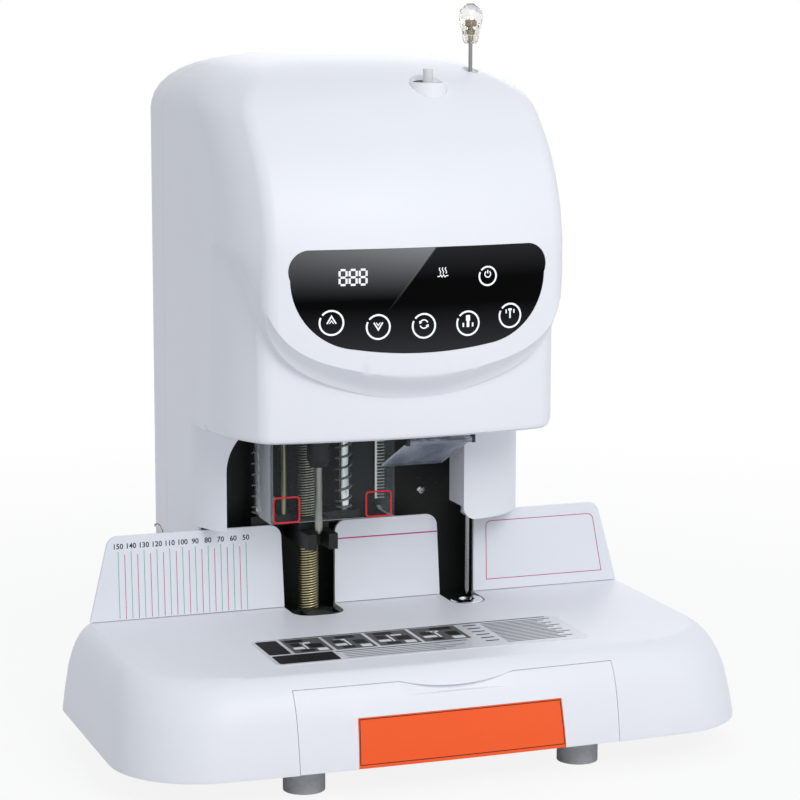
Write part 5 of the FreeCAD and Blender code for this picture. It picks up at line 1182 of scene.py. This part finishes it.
@dataclass
class LeadScrew:
    """Three-start lead screw behind the drill, with a journal at each end."""

    node: str = "lift_screw"
    radius: float = 8.0
    journal: float = 4.0
    thread_low: float = 81.4
    thread_high: float = 448.0
    pitch: float = 2.0
    starts: int = 3
    depth: float = 0.8
    chamfer: float = 1.0
    rows_per_pitch: int = 8
    columns: int = 40

    def rings(self, centre: np.ndarray, low: float, high: float) -> np.ndarray:
        """Work out the thread.

        The radius is R - d (1 - c) / 2, where c is the sine of the thread's phase, raised to
        steep flanks and clipped to -1 and 1. The phase is z / pitch - starts * angle / one turn,
        so the ridges climb by starts * pitch in a turn.

        Args:
            centre: The axis in plan.
            low: The lower journal's end.
            high: The upper journal's end.

        Returns:
            The rings, from below.
        """
        rows = int((self.thread_high - self.thread_low) / self.pitch * self.rows_per_pitch) + 1
        height = np.linspace(self.thread_low, self.thread_high, rows)[:, None]
        angle = np.linspace(0, TURN, self.columns, endpoint=False)[None]
        phase = height / self.pitch - self.starts * angle / TURN
        crest = np.clip(1.5 * np.sin(TURN * phase), -1, 1)
        inset = np.minimum(height - self.thread_low, self.thread_high - height)
        outer = np.minimum(self.radius, self.radius - self.chamfer + inset)
        radius = np.minimum(outer, self.radius - self.depth * (1 - crest) / 2)
        thread = polar(radius, angle, height)
        ends = lathe(
            (
                (self.journal - 0.5, low),
                (self.journal, low + 0.5),
                (self.journal, self.thread_low - 0.05),
                (self.journal, self.thread_high + 0.05),
                (self.journal, high - 0.5),
                (self.journal - 0.5, high),
            ),
            self.columns,
        )
        rings = np.concatenate((ends[:3], thread, ends[3:]))
        rings[..., :2] += centre
        return rings

    def build(self) -> None:
        """Make the screw in place of its plain node."""
        low, high = extent(self.node)
        centre = (low[:2] + high[:2]) / 2
        shape = Shape().sweep(self.rings(centre, float(low[2]), float(high[2])))
        screw = shape.build("lead_screw_thread", Palette.THREAD)
        spots = np.vstack(shape.points)
        reach = np.hypot(*(spots[:, :2] - centre).T)
        # Groove depth, which the thread's finish turns into painted shade.
        groove = np.clip((self.radius - reach) / self.depth, 0, 1)
        groove[reach < self.journal + 0.2] = 0
        engrave(screw, groove)
        settle(screw, "lift_screw_body", (self.node,))


@dataclass
class FootSprings:
    """Two coil springs round the guide rods, with closed and ground ends."""

    node: str = "foot_springs"
    centres: tuple[Pair, ...] = ((-77.2, 53.0), (-9.2, 53.0))
    low: float = 157.75
    high: float = 249.95
    coil: float = 5.95
    wire: float = 0.78
    turns: float = 12.5
    closed: float = 0.9
    ease: float = 0.5
    play: float = 0.02
    steps: int = 40
    travel: float = 11.45

    def path(self) -> np.ndarray:
        """Work out the wire's middle line.

        It is a helix whose pitch is one wire in the closed ends and grows smoothly to the free
        pitch between them: the height is the running sum of a pitch that follows a smooth step.

        Returns:
            The points from below, about the vertical axis.
        """
        turn = np.linspace(0, self.turns, int(self.turns * self.steps) + 1)
        edge = np.minimum(turn, self.turns - turn)
        open_share = np.clip((edge - self.closed) / self.ease, 0, 1)
        open_share = open_share**2 * (3 - 2 * open_share)
        step = turn[1] - turn[0]
        least = 2 * self.wire + self.play
        span = self.high - self.low - 2 * self.wire
        shut = least * step * (len(turn) - 1)
        gain = (span - shut) / (open_share[1:].sum() * step)
        pitch = least + gain * open_share
        height = np.concatenate(((0,), np.cumsum(pitch[1:] * step)))
        return polar(self.coil, TURN * turn, self.low + self.wire + height)

    def build(self) -> None:
        """Wind both springs as one piece that rides on the drill head."""
        shape = Shape()
        coil = tube(self.path(), self.wire)
        for centre in self.centres:
            shape.sweep(coil + np.array((*centre, 0.0)))
        springs = shape.build("foot_spring_coils", Palette.SPRING)
        settle(springs, "drill_head", (self.node,))
        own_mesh(springs)


@dataclass
class DepthStrip:
    """Toothed strip on the column frame, with a smooth rib along its left side."""

    node: str = "depth_strip"
    rib: float = 1.8
    pitch: float = 2.5
    tooth: float = 1.1
    rows_per_tooth: int = 8
    seam: float = 0.05

    def build(self) -> None:
        """Make the strip in place of its plain node.

        The toothed front's depth is the tooth height times a clipped sine of the height over
        the pitch.
        """
        low, high = extent(self.node)
        rows = int((high[2] - low[2]) / self.pitch * self.rows_per_tooth)
        height = np.linspace(low[2], high[2], rows)
        wave = np.clip(1.6 * np.sin(TURN * (height - low[2]) / self.pitch), -1, 1)
        front = low[1] + self.tooth * (1 - wave) / 2
        left, seam = low[0] + self.rib, low[0] + self.rib - self.seam
        shape = Shape()
        shape.sweep(self.bar(left, high[0], front, high[1], height))
        shape.sweep(self.bar(low[0], seam, low[1], high[1], height[[0, -1]]))
        rack = shape.build("depth_rack", Palette.RACK)
        spots = np.vstack(shape.points)
        # Tooth depth, which the rack's finish turns into painted shade.
        engrave(rack, np.clip((spots[:, 1] - low[1]) / self.tooth, 0, 1))
        settle(rack, "machine", (self.node,))

    @staticmethod
    def bar(
        left: float, right: float, front: np.ndarray | float, back: float, height: np.ndarray
    ) -> np.ndarray:
        """Give the four corners of an upright bar at each height."""
        corners = ((left, front), (right, front), (right, back), (left, back))
        rows = [np.stack(np.broadcast_arrays(x, y, height), axis=-1) for x, y in corners]
        return np.stack(rows, axis=1)


@dataclass
class NeedleKnob:
    """Clear cut knob on the guide needle, with a brass insert inside."""

    node: str = "needle_knob"
    centre: Pair = (78.3, 12.4)
    facets: int = 10
    profile: tuple[Pair, ...] = (
        (4.0, 516.5), (5.4, 517.6), (6.6, 523.5), (8.2, 531.0), (9.4, 537.4),
        (8.3, 541.4), (5.7, 544.0), (2.6, 546.4),
    )
    insert: tuple[Pair, ...] = (
        (1.8, 523.4), (2.6, 524.0), (2.6, 527.2), (1.7, 527.8), (1.7, 529.4), (2.9, 530.2),
        (2.9, 534.2), (2.0, 535.0),
    )

    def build(self) -> None:
        """Cut the knob so that each ring of facets stands half a facet on from the last."""
        radius, height = np.array(self.profile).T
        ring = np.arange(len(radius))
        step = TURN / self.facets
        angle = np.arange(self.facets)[None] * step + (ring % 2)[:, None] * step / 2
        points = polar(radius[:, None], angle, height[:, None])
        points[..., :2] += self.centre
        shape = Shape().capped(points, self.diamonds(len(radius)))
        knob = shape.build("needle_crystal", Palette.KNOB, smooth=False)
        settle(knob, "guide_needle", (self.node,))
        rings = lathe(self.insert, 20)
        rings[..., :2] += self.centre
        core = Shape().sweep(rings).build("needle_insert", Palette.INSERT, smooth=False)
        settle(core, "guide_needle")

    def diamonds(self, rings: int) -> np.ndarray:
        """Join each ring to the next with triangles, by the way the rings are turned."""
        column = np.arange(self.facets)
        made = []
        for ring in range(rings - 1):
            low, high = ring * self.facets, (ring + 1) * self.facets
            after = (column + 1) % self.facets
            before = (column - 1) % self.facets
            start, end = (after, column) if ring % 2 else (column, before)
            made.append(np.stack((low + column, low + after, high + start), axis=-1))
            made.append(np.stack((high + start, high + end, low + column), axis=-1))
        return np.concatenate(made)


class Way(Enum):
    """The way that a screw's head looks."""

    FRONT = Matrix.Rotation(math.radians(90), 3, "X")
    BACK = Matrix.Rotation(math.radians(-90), 3, "X")
    DOWN = Matrix.Rotation(math.radians(180), 3, "X")


@dataclass
class MachineScrews:
    """Pan head screws with a cross recess."""

    node: str = "machine_screws"
    head: float = 3.5
    rise: float = 1.9
    rim_share: float = 0.45
    dome_power: float = 2.6
    shank: float = 2.0
    length: float = 7.9
    recess: float = 1.1
    slot_half: float = 0.5
    slot_reach: float = 1.9
    rings: int = 22
    columns: int = 48
    places: tuple[tuple[float, float, float, Way], ...] = (
        (-62.0, 72.0, 164.0, Way.FRONT), (-62.0, 72.0, 420.0, Way.FRONT),
        (62.0, 72.0, 164.0, Way.FRONT), (62.0, 72.0, 420.0, Way.FRONT),
        (-98.0, 181.0, 50.0, Way.BACK), (-98.0, 181.0, 440.0, Way.BACK),
        (98.0, 181.0, 50.0, Way.BACK), (98.0, 181.0, 440.0, Way.BACK),
    )
    low_places: tuple[tuple[float, float, float, Way], ...] = (
        (-76.0, -11.0, 238.0, Way.DOWN), (2.5, -11.0, 238.0, Way.DOWN),
    )
    low_length: float = 3.1

    def one(self, length: float) -> np.ndarray:
        """Work out one screw at the origin, looking up.

        The head is a dome of height h (1 - (r / R) ^ p) over its rim. The recess takes off its
        depth times a smooth mask of a cross: the larger of two bars, each one minus a smooth
        step over its half width, and both fading at their reach.

        Args:
            length: How far the shank goes below the head.

        Returns:
            Rings from the middle of the head to the end of the shank.
        """
        radius = np.linspace(0.02, self.head, self.rings)[:, None]
        angle = np.linspace(0, TURN, self.columns, endpoint=False)[None]
        x, y = radius * np.cos(angle), radius * np.sin(angle)
        dome = 1 - (radius / self.head) ** self.dome_power
        dome = self.rise * (self.rim_share + (1 - self.rim_share) * dome)
        bars = np.minimum(np.abs(x), np.abs(y))
        cross = np.clip((self.slot_half + 0.25 - bars) / 0.5, 0, 1)
        fade = np.clip((self.slot_reach - radius) / 0.8, 0, 1)
        z = dome - self.recess * cross * np.minimum(fade * 2, 1)
        top = np.stack((x, y, z), axis=-1)
        stem = lathe(
            (
                (self.head, 0.25), (self.head - 0.25, 0.0), (self.shank, 0.0),
                (self.shank, 0.4 - length), (self.shank - 0.4, -length),
            ),
            self.columns,
        )
        return np.concatenate((top, stem))

    def build(self) -> None:
        """Set every screw in place as one piece."""
        shape = Shape()
        for length, places in ((self.length, self.places), (self.low_length, self.low_places)):
            screw = self.one(length)
            for *spot, way in places:
                shape.sweep(screw @ np.array(way.value).T + np.array(spot))
        piece = shape.build("pan_head_screws", Palette.STEEL)
        settle(piece, "machine", (self.node,))


@dataclass
class TouchPanel:
    """Lit symbols of the control glass."""

    surface: BowedFace = BowedFace(-95.98, 9.0, 105.0)
    rings: tuple[Pair, ...] = (
        (-67.8, 323.5), (-33.6, 319.5), (0.8, 319.0), (35.1, 319.3), (69.0, 323.2),
    )
    ring_radius: float = 8.6
    ring_width: float = 1.3
    gap_angle: float = 147.0
    gap_half: float = 7.0
    power: Pair = (50.6, 352.9)
    power_radius: float = 6.7
    power_width: float = 1.25
    digits: tuple[float, ...] = (-59.4, -52.1, -44.8)
    digit_middle: float = 355.6
    digit_half_width: float = 2.5
    digit_half_height: float = 5.3
    bar: float = 1.5
    heat: Pair = (15.2, 357.0)
    waves: tuple[float, ...] = (-2.3, 0.0, 2.3)
    zigzag: tuple[Pair, ...] = (
        (-4.2, -2.9), (-2.6, -2.9), (-1.7, -1.8), (-0.6, -3.4), (0.6, -1.8), (1.7, -3.4),
        (2.6, -2.5), (4.2, -2.5),
    )
    thin: float = 0.62
    chevrons: tuple[tuple[float, float, float], ...] = ((3.3, 3.4, 1.05), (1.5, 0.3, 0.6))
    chevron_foot: float = -1.9
    cycle_radius: float = 3.0
    cycle_sweep: float = 125.0
    drill_blocks: tuple[tuple[float, ...], ...] = (
        (-1.6, 0.6, 1.6, 4.6, 0.0), (-1.0, -4.0, 1.0, 0.7, 0.0),
        (-4.3, -3.8, -3.1, -0.9, 0.0), (3.1, -3.8, 4.3, -0.9, 0.0),
    )
    press_blocks: tuple[tuple[float, ...], ...] = (
        (-1.5, 2.4, 1.5, 3.9, 0.5), (-0.6, -3.2, 0.6, 2.5, 0.0),
        (-3.7, 0.4, -2.7, 3.2, 0.0), (2.7, 0.4, 3.7, 3.2, 0.0),
    )
    sign_lift: float = 1.3

    def ring(self, art: Print, centre: Pair, radius: float, width: float) -> None:
        """Draw a ring that is open for a moment at its upper left."""
        start = self.gap_angle + self.gap_half
        art.arc(centre, radius, start, start + 360 - 2 * self.gap_half, width)

    def digit(self, art: Print, middle: float) -> None:
        """Draw the seven bars of one display digit, each a short lozenge."""
        across, up, nip = self.digit_half_width, self.digit_half_height, 0.75
        z = self.digit_middle
        for rise in (-up, 0.0, up):
            ends = (middle - across + nip, middle + across - nip)
            art.stroke([(x, z + rise) for x in ends], self.bar)
        for side in (-across, across):
            for low, high in ((-up, 0.0), (0.0, up)):
                art.stroke(
                    ((middle + side, z + low + nip), (middle + side, z + high - nip)), self.bar
                )

    def chevron(self, art: Print, centre: Pair, way: int) -> None:
        """Draw a double arrow head that points up or down."""
        x, z = centre
        foot = z + way * self.chevron_foot
        for half, tip, width in self.chevrons:
            art.stroke(((x - half, foot), (x, z + way * tip), (x + half, foot)), width)

    def cycle(self, art: Print, centre: Pair) -> None:
        """Draw two arrows that chase each other."""
        for start in (20, 200):
            end = start + self.cycle_sweep
            art.arc(centre, self.cycle_radius, start, end, 0.9)
            art.head(centre, self.cycle_radius, end, 1.9, 1.4)

    def blocks(self, art: Print, centre: Pair, blocks: tuple[tuple[float, ...], ...]) -> None:
        """Draw a sign that is made of blocks, given by their sides and corner radius."""
        x, z = centre
        for left, low, right, high, corner in blocks:
            art.block((x + left, z + low), (x + right, z + high), corner)

    def heat_sign(self, art: Print) -> None:
        """Draw three rising waves over a zigzag."""
        x, z = self.heat
        rise = np.linspace(0, 1, 13)
        for side in self.waves:
            wave = x + side + 0.55 * np.sin(TURN * rise)
            art.stroke(np.stack((wave, z - 0.9 + 4.4 * rise), axis=-1), self.thin)
        art.stroke([(x + across, z + up) for across, up in self.zigzag], self.thin)

    def power_sign(self, art: Print) -> None:
        """Draw a broken ring with a bar in its gap."""
        x, z = self.power[0], self.power[1] + 1.4
        art.arc((x, z), 2.3, 125, 415, 0.8)
        art.stroke(((x, z + 0.4), (x, z + 3.0)), 0.8)

    def build(self) -> None:
        """Draw the symbols and set them on the glass."""
        art = Print(self.surface)
        for centre in self.rings:
            self.ring(art, centre, self.ring_radius, self.ring_width)
        self.ring(art, self.power, self.power_radius, self.power_width)
        up, down, cycle, drill, press = ((x, z + self.sign_lift) for x, z in self.rings)
        self.chevron(art, up, 1)
        self.chevron(art, down, -1)
        self.cycle(art, cycle)
        self.blocks(art, drill, self.drill_blocks)
        self.blocks(art, press, self.press_blocks)
        self.heat_sign(art)
        self.power_sign(art)
        art.piece("panel_symbols", Palette.WHITE_INK)
        display = Print(self.surface)
        for middle in self.digits:
            self.digit(display, middle)
        display.piece("display_digits", Palette.WHITE_INK)


@dataclass
class FencePrint:
    """Ruler, depth line and frame on the leaning fences."""

    surface: LeaningPlane = LeaningPlane(34.2, 87.7, 3.85)
    zero: float = -43.2
    first: int = 50
    last: int = 150
    even_top: float = 139.6
    odd_top: float = 137.0
    bottom: float = 88.6
    line: float = 0.45
    number_level: float = 143.4
    number_size: float = 5.535
    number_rise: float = 0.06
    number_weight: float = 0.09
    limit_level: float = 137.3
    limit_ends: Pair = (-21.3, 62.6)
    limit_width: float = 1.0
    frame_right: tuple[Pair, ...] = ((203.2, 96.1), (196.6, 137.6))
    frame_left: tuple[Pair, ...] = ((103.9, 96.1),)
    frame_width: float = 0.55

    def ruler(self) -> None:
        """Draw a line at each five millimetres from the drill, by turns green and pink."""
        for name, finish, start, top in (
            ("ruler_tens", Palette.GREEN_INK, 0, self.even_top),
            ("ruler_fives", Palette.PINK_INK, 5, self.odd_top),
        ):
            art = Print(self.surface, proud=0.06)
            for mark in range(self.first + start, self.last + 1, 10):
                x = self.zero - mark
                art.stroke(((x, self.bottom), (x, top)), self.line)
            art.piece(name, finish)

    def numbers(self) -> None:
        """Write the tens above their lines, as text made into meshes on the fence."""
        shape = Shape()
        for mark in range(self.first, self.last + 1, 10):
            spots, faces = self.word(str(mark))
            place = self.surface.place(
                spots[:, 0] + self.zero - mark, spots[:, 1] + self.number_level, spots[:, 2]
            )
            shape.add(place, faces)
        made = shape.build("ruler_numbers", Palette.NUMBER_INK, smooth=False)
        weld(made.data)
        settle(made, "machine")

    def word(self, text: str) -> tuple[np.ndarray, np.ndarray]:
        """Turn a text into a thin solid in millimetres.

        Args:
            text: The figures to write.

        Returns:
            Its points, with the third as height over the surface, and its triangles.
        """
        curve = bpy.data.curves.new("word", "FONT")
        curve.body = text
        curve.size = self.number_size
        curve.align_x = "CENTER"
        curve.align_y = "CENTER"
        curve.extrude = self.number_rise
        curve.offset = self.number_weight
        curve.resolution_u = 3
        holder = hold("word", curve)
        bpy.context.view_layer.update()
        mesh = bpy.data.meshes.new_from_object(holder)
        made = read(mesh)
        bpy.data.objects.remove(holder)
        bpy.data.curves.remove(curve)
        bpy.data.meshes.remove(mesh)
        return made

    def build(self) -> None:
        """Make all the print."""
        self.ruler()
        self.numbers()
        limit = Print(self.surface, proud=0.06)
        limit.stroke([(x, self.limit_level) for x in self.limit_ends], self.limit_width)
        limit.piece("depth_limit_line", Palette.PINK_INK)
        border = np.vstack(
            (
                np.array(self.frame_right),
                bend((191.6, 137.4), 5.0, 10, 90, 5),
                bend((108.2, 138.4), 4.0, 90, 180, 5),
                np.array(self.frame_left),
            )
        )
        art = Print(self.surface, proud=0.06)
        art.stroke(border, self.frame_width, loop=True)
        art.piece("fence_border", Palette.PINK_INK)


@dataclass(frozen=True)
class Rows:
    """Plain level lines in place of rows of words, with ends that vary by turns."""

    left: float
    right: float
    top: float
    step: float
    count: int
    width: float
    stride: int = 1
    cycle: int = 1
    shift: float = 0.0

    def draw(self, art: Print) -> None:
        """Draw the lines downwards."""
        for row in range(self.count):
            y = self.top - row * self.step
            end = self.right + (row * self.stride % self.cycle) * self.shift
            art.stroke(((self.left, y), (end, y)), self.width)


@dataclass
class DeckLabel:
    """Generic blocks on the deck's silver label, where the real one has pictures and words."""

    surface: DeckPlane = DeckPlane(87.6)
    tiles: tuple[Pair, ...] = ((-98.6, -69.4), (-66.8, -36.0), (-33.4, -1.6), (1.0, 37.0))
    tile_near: float = -101.8
    tile_far: float = -63.4
    dark_shifts: tuple[float, ...] = (0.08, 0.30, 0.16, 0.42)
    dark_blocks: tuple[tuple[float, ...], ...] = (
        (0.0, 1.0, 0.46, 1.0, -72.5, -65.5, 0.8), (0.12, 0.0, 0.36, 0.0, -84.0, -75.0, 0.8),
        (0.5, 1 / 3, 0.9, 0.0, -90.0, -79.0, 0.8), (0.2, 0.0, 0.6, -1 / 3, -99.0, -93.5, 0.8),
    )
    light_shifts: tuple[float, ...] = (0.30, 0.06, 0.42, 0.18)
    light_blocks: tuple[tuple[float, ...], ...] = (
        (0.42, 0.0, 0.47, 0.0, -92.4, -73.6, 0.4), (0.1, 1.0, 0.36, 1.0, -77.6, -74.0, 0.8),
        (0.10, 0.0, 0.38, 0.0, -91.6, -86.0, 0.8), (0.66, 0.0, 0.92, 0.0, -99.4, -92.4, 0.8),
    )

    panels: tuple[tuple[Pair, Pair], ...] = (
        ((-117.6, -101.4), (-101.4, -63.0)), ((-117.6, -126.6), (-72.0, -104.6)),
    )
    dark_rows: tuple[Rows, ...] = (
        Rows(-69.5, 31.0, -106.6, 0.0, 1, 1.3), Rows(-98.6, 112.0, -61.4, 0.0, 1, 1.4),
        Rows(43.4, 53.6, -68.0, 9.2, 6, 2.0),
    )
    grey_rows: tuple[Rows, ...] = (
        Rows(58.0, 114.0, -66.6, 3.9, 15, 1.4, 7, 5, -3.2),
        Rows(-66.0, 8.0, -111.4, 4.4, 4, 0.9, 5, 3, 9.0),
    )

    def scatter(
        self, art: Print, shifts: tuple[float, ...], blocks: tuple[tuple[float, ...], ...]
    ) -> None:
        """Lay plain blocks on each tile.

        Args:
            art: The print that takes them.
            shifts: How far the blocks move on each tile, as a share of its width.
            blocks: The left side and its part in the shift, the right side and its part, both as
                shares of the width, then the near side, the far side and the corner radius.
        """
        for (start, end), shift in zip(self.tiles, shifts):
            width = end - start
            for left, left_part, right, right_part, near, far, corner in blocks:
                low = (start + width * (left + shift * left_part), near)
                high = (start + width * (right + shift * right_part), far)
                art.block(low, high, corner)

    def build(self) -> None:
        """Draw tiles, dark and light blocks and grey lines."""
        tiles = Print(self.surface, proud=0.06)
        for left, right in self.tiles:
            tiles.block((left, self.tile_near), (right, self.tile_far), 0.6)
        tiles.piece("label_tiles", Palette.TILE_INK)
        dark = Print(self.surface, proud=0.10, sunk=0.02)
        for low, high in self.panels:
            dark.block(low, high, 2.0)
        self.scatter(dark, self.dark_shifts, self.dark_blocks)
        for rows in self.dark_rows:
            rows.draw(dark)
        dark.piece("label_dark_blocks", Palette.BLACK_INK)
        light = Print(self.surface, proud=0.09, sunk=0.02)
        self.scatter(light, self.light_shifts, self.light_blocks)
        light.piece("label_light_blocks", Palette.LIGHT_INK)
        fine = Print(self.surface, proud=0.08)
        for rows in self.grey_rows:
            rows.draw(fine)
        fine.piece("label_grey_lines", Palette.GREY_INK)


@dataclass
class DrawerLabelPrint:
    """Fine line round the orange plate of the drawer."""

    node: str = "drawer_label"
    inset: float = 1.0
    foot_inset: float = 2.6
    width: float = 0.5
    narrow: float = 1.4
    steps: int = 24

    def build(self) -> None:
        """Follow the plate's edge at a small distance."""
        low, high = extent(self.node)
        left, right = low[0] + self.inset, high[0] - self.inset
        bottom, top = low[2] + self.foot_inset, high[2] - self.inset
        corners = np.array(
            (
                (left, bottom), (left + self.narrow, top),
                (right - self.narrow, top), (right, bottom),
            )
        )
        steps = np.linspace(0, 1, self.steps, endpoint=False)[None, :, None]
        ends = np.roll(corners, -1, axis=0)
        path = (corners[:, None] * (1 - steps) + ends[:, None] * steps).reshape(-1, 2)
        art = Print(NodeFront(self.node), proud=0.10, sunk=0.3)
        art.stroke(path, self.width, loop=True)
        art.piece("drawer_label_line", Palette.BLACK_INK, "drawer")


@dataclass
class SmallMarks:
    """Plain outlines on the guard and the turning arrow by the dial."""

    guard: FrontPlane = FrontPlane(-3.0)
    side: SidePlane = SidePlane(-132.0)
    marks: tuple[Pair, ...] = ((-83.6, -63.4), (-10.2, 9.8))
    mark_low: float = 161.8
    mark_high: float = 180.8
    dial: Pair = (150.0, 110.0)
    arrow_radius: float = 24.0
    arrow_ends: Pair = (62, 118)

    def build(self) -> None:
        """Draw the marks."""
        art = Print(self.guard, proud=0.12, sunk=0.0)
        for left, right in self.marks:
            outline = rounded((left, self.mark_low), (right, self.mark_high), 2.4)
            art.stroke(outline, 1.3, loop=True)
        art.piece("guard_outlines", Palette.RED_INK)
        arrow = Print(self.side, proud=0.08)
        arrow.arc(self.dial, self.arrow_radius, *self.arrow_ends, 0.8)
        for angle, way in zip(self.arrow_ends, (-1, 1)):
            arrow.head(self.dial, self.arrow_radius, angle, way * 3.4, 1.5)
        arrow.piece("dial_arrow", Palette.GREY_INK)


# Studio


@dataclass(frozen=True)
class Lamp:
    """A soft rectangular lamp."""

    name: str
    place: Triple
    aim: Triple
    width: float
    height: float
    power: float

    def build(self) -> None:
        """Hang the lamp and turn it to its aim."""
        light = bpy.data.lights.new(self.name, "AREA")
        light.shape = "RECTANGLE"
        light.size = self.width
        light.size_y = self.height
        light.energy = self.power
        holder = hold(self.name, light)
        back = np.array(self.place) - np.array(self.aim)
        back /= np.linalg.norm(back)
        side = np.cross((0.0, 0.0, 1.0), back)
        side /= np.linalg.norm(side)
        turned = Matrix(np.stack((side, np.cross(back, side), back), axis=1).tolist()).to_4x4()
        holder.matrix_world = Matrix.Translation(self.place) @ turned


@dataclass
class Studio:
    """Floor, light and camera."""

    floor_half: float = 14.0
    floor_colour: Colour = (0.80, 0.80, 0.81, 1.0)
    floor_veil: float = 0.88
    veil_start: float = 0.45
    veil_end: float = 1.30
    sky_colour: Colour = (0.89, 0.935, 1.0, 1.0)
    sky_strength: float = 0.55
    lamps: tuple[Lamp, ...] = (
        Lamp("front_softbox", (0.2, -1.7, 1.5), (0.0, -0.1, 0.3), 1.0, 1.0, 14.5),
        Lamp("deck_softbox", (0.1, -1.05, 0.72), (0.0, -0.1, 0.1), 0.9, 0.35, 1.0),
        Lamp("rear_softbox", (0.9, 2.0, 1.3), (0.0, 0.1, 0.28), 1.2, 1.0, 6.0),
    )
    camera_place: Triple = (-0.64324, -1.80086, 0.56029)
    camera_turn: Triple = (-20.16, 80.8, 0.15)
    lens: float = 115.45
    sensor: float = 36.0

    def seen(self, recipe: Recipe) -> Signal:
        """Give 1 for rays that come from the camera, a mirror or clear glass."""
        path = recipe.node("ShaderNodeLightPath")
        return (
            path.out("Is Camera Ray") + path.out("Is Glossy Ray") + path.out("Is Transmission Ray")
        ).clipped()

    def floor(self) -> None:
        """Lay the pale floor, which shows near white but keeps the shadow."""
        half = self.floor_half
        mesh = bpy.data.meshes.new("studio_floor")
        corners = [(-half, -half, 0), (half, -half, 0), (half, half, 0), (-half, half, 0)]
        mesh.from_pydata(corners, [], [(0, 1, 2, 3)])
        plane = hold("studio_floor", mesh)
        recipe = Recipe.material("studio_paper")
        tone = recipe.cloud(400, 2)
        paper = recipe.gloss(
            Base_Color=recipe.blend(tone, scaled(self.floor_colour, 0.99), self.floor_colour),
            Roughness=0.9,
            Specular_IOR_Level=0.0,
        )
        white = recipe.node("ShaderNodeEmission", {}, {"Color": WHITE, "Strength": 1.0})
        away = recipe.node("ShaderNodeVectorMath", {"operation": "LENGTH"}, {0: recipe.place()})
        far = away.out("Value").ramp(self.veil_start, self.veil_end)
        share = self.seen(recipe) * (far * (1 - self.floor_veil) + self.floor_veil)
        mesh.materials.append(
            recipe.finish(recipe.node("ShaderNodeMixShader", {}, {0: share, 1: paper, 2: white}))
        )

    def sky(self) -> None:
        """Light the world softly and show it white."""
        world = bpy.data.worlds.new("studio_world")
        world.use_nodes = True
        bpy.context.scene.world = world
        recipe = Recipe(world.node_tree, world)
        soft = recipe.node(
            "ShaderNodeBackground", {}, {"Color": self.sky_colour, "Strength": self.sky_strength}
        )
        white = recipe.node("ShaderNodeBackground", {}, {"Color": WHITE, "Strength": 1.0})
        mixed = recipe.node("ShaderNodeMixShader", {}, {0: self.seen(recipe), 1: soft, 2: white})
        recipe.node("ShaderNodeOutputWorld", {}, {"Surface": mixed})

    def camera(self) -> None:
        """Set the camera where the photograph was taken from."""
        data = bpy.data.cameras.new("photo_camera")
        data.lens = self.lens
        data.sensor_width = self.sensor
        data.clip_start = 0.05
        data.clip_end = 60.0
        holder = hold("photo_camera", data)
        yaw, pitch, roll = (math.radians(angle) for angle in self.camera_turn)
        turn = Matrix.Rotation(yaw, 4, "Z") @ Matrix.Rotation(pitch, 4, "X")
        turn = turn @ Matrix.Rotation(roll, 4, "Z")
        holder.matrix_world = Matrix.Translation(self.camera_place) @ turn
        bpy.context.scene.camera = holder

    def build(self) -> None:
        """Set up everything around the machine."""
        self.floor()
        self.sky()
        for lamp in self.lamps:
            lamp.build()
        self.camera()
        bpy.context.scene.view_settings.view_transform = "Standard"
        LOG.info("studio: %d lamps", len(self.lamps))


def main() -> None:
    """Dress the machine piece by piece."""
    logging.basicConfig(level=logging.INFO, format="%(name)s: %(message)s")
    Castings().finish()
    for assembly in (
        LeadScrew(), FootSprings(), DepthStrip(), NeedleKnob(), MachineScrews(),
        TouchPanel(), FencePrint(), DeckLabel(), DrawerLabelPrint(), SmallMarks(), Studio(),
    ):
        assembly.build()


if __name__ == "__main__":
    main()
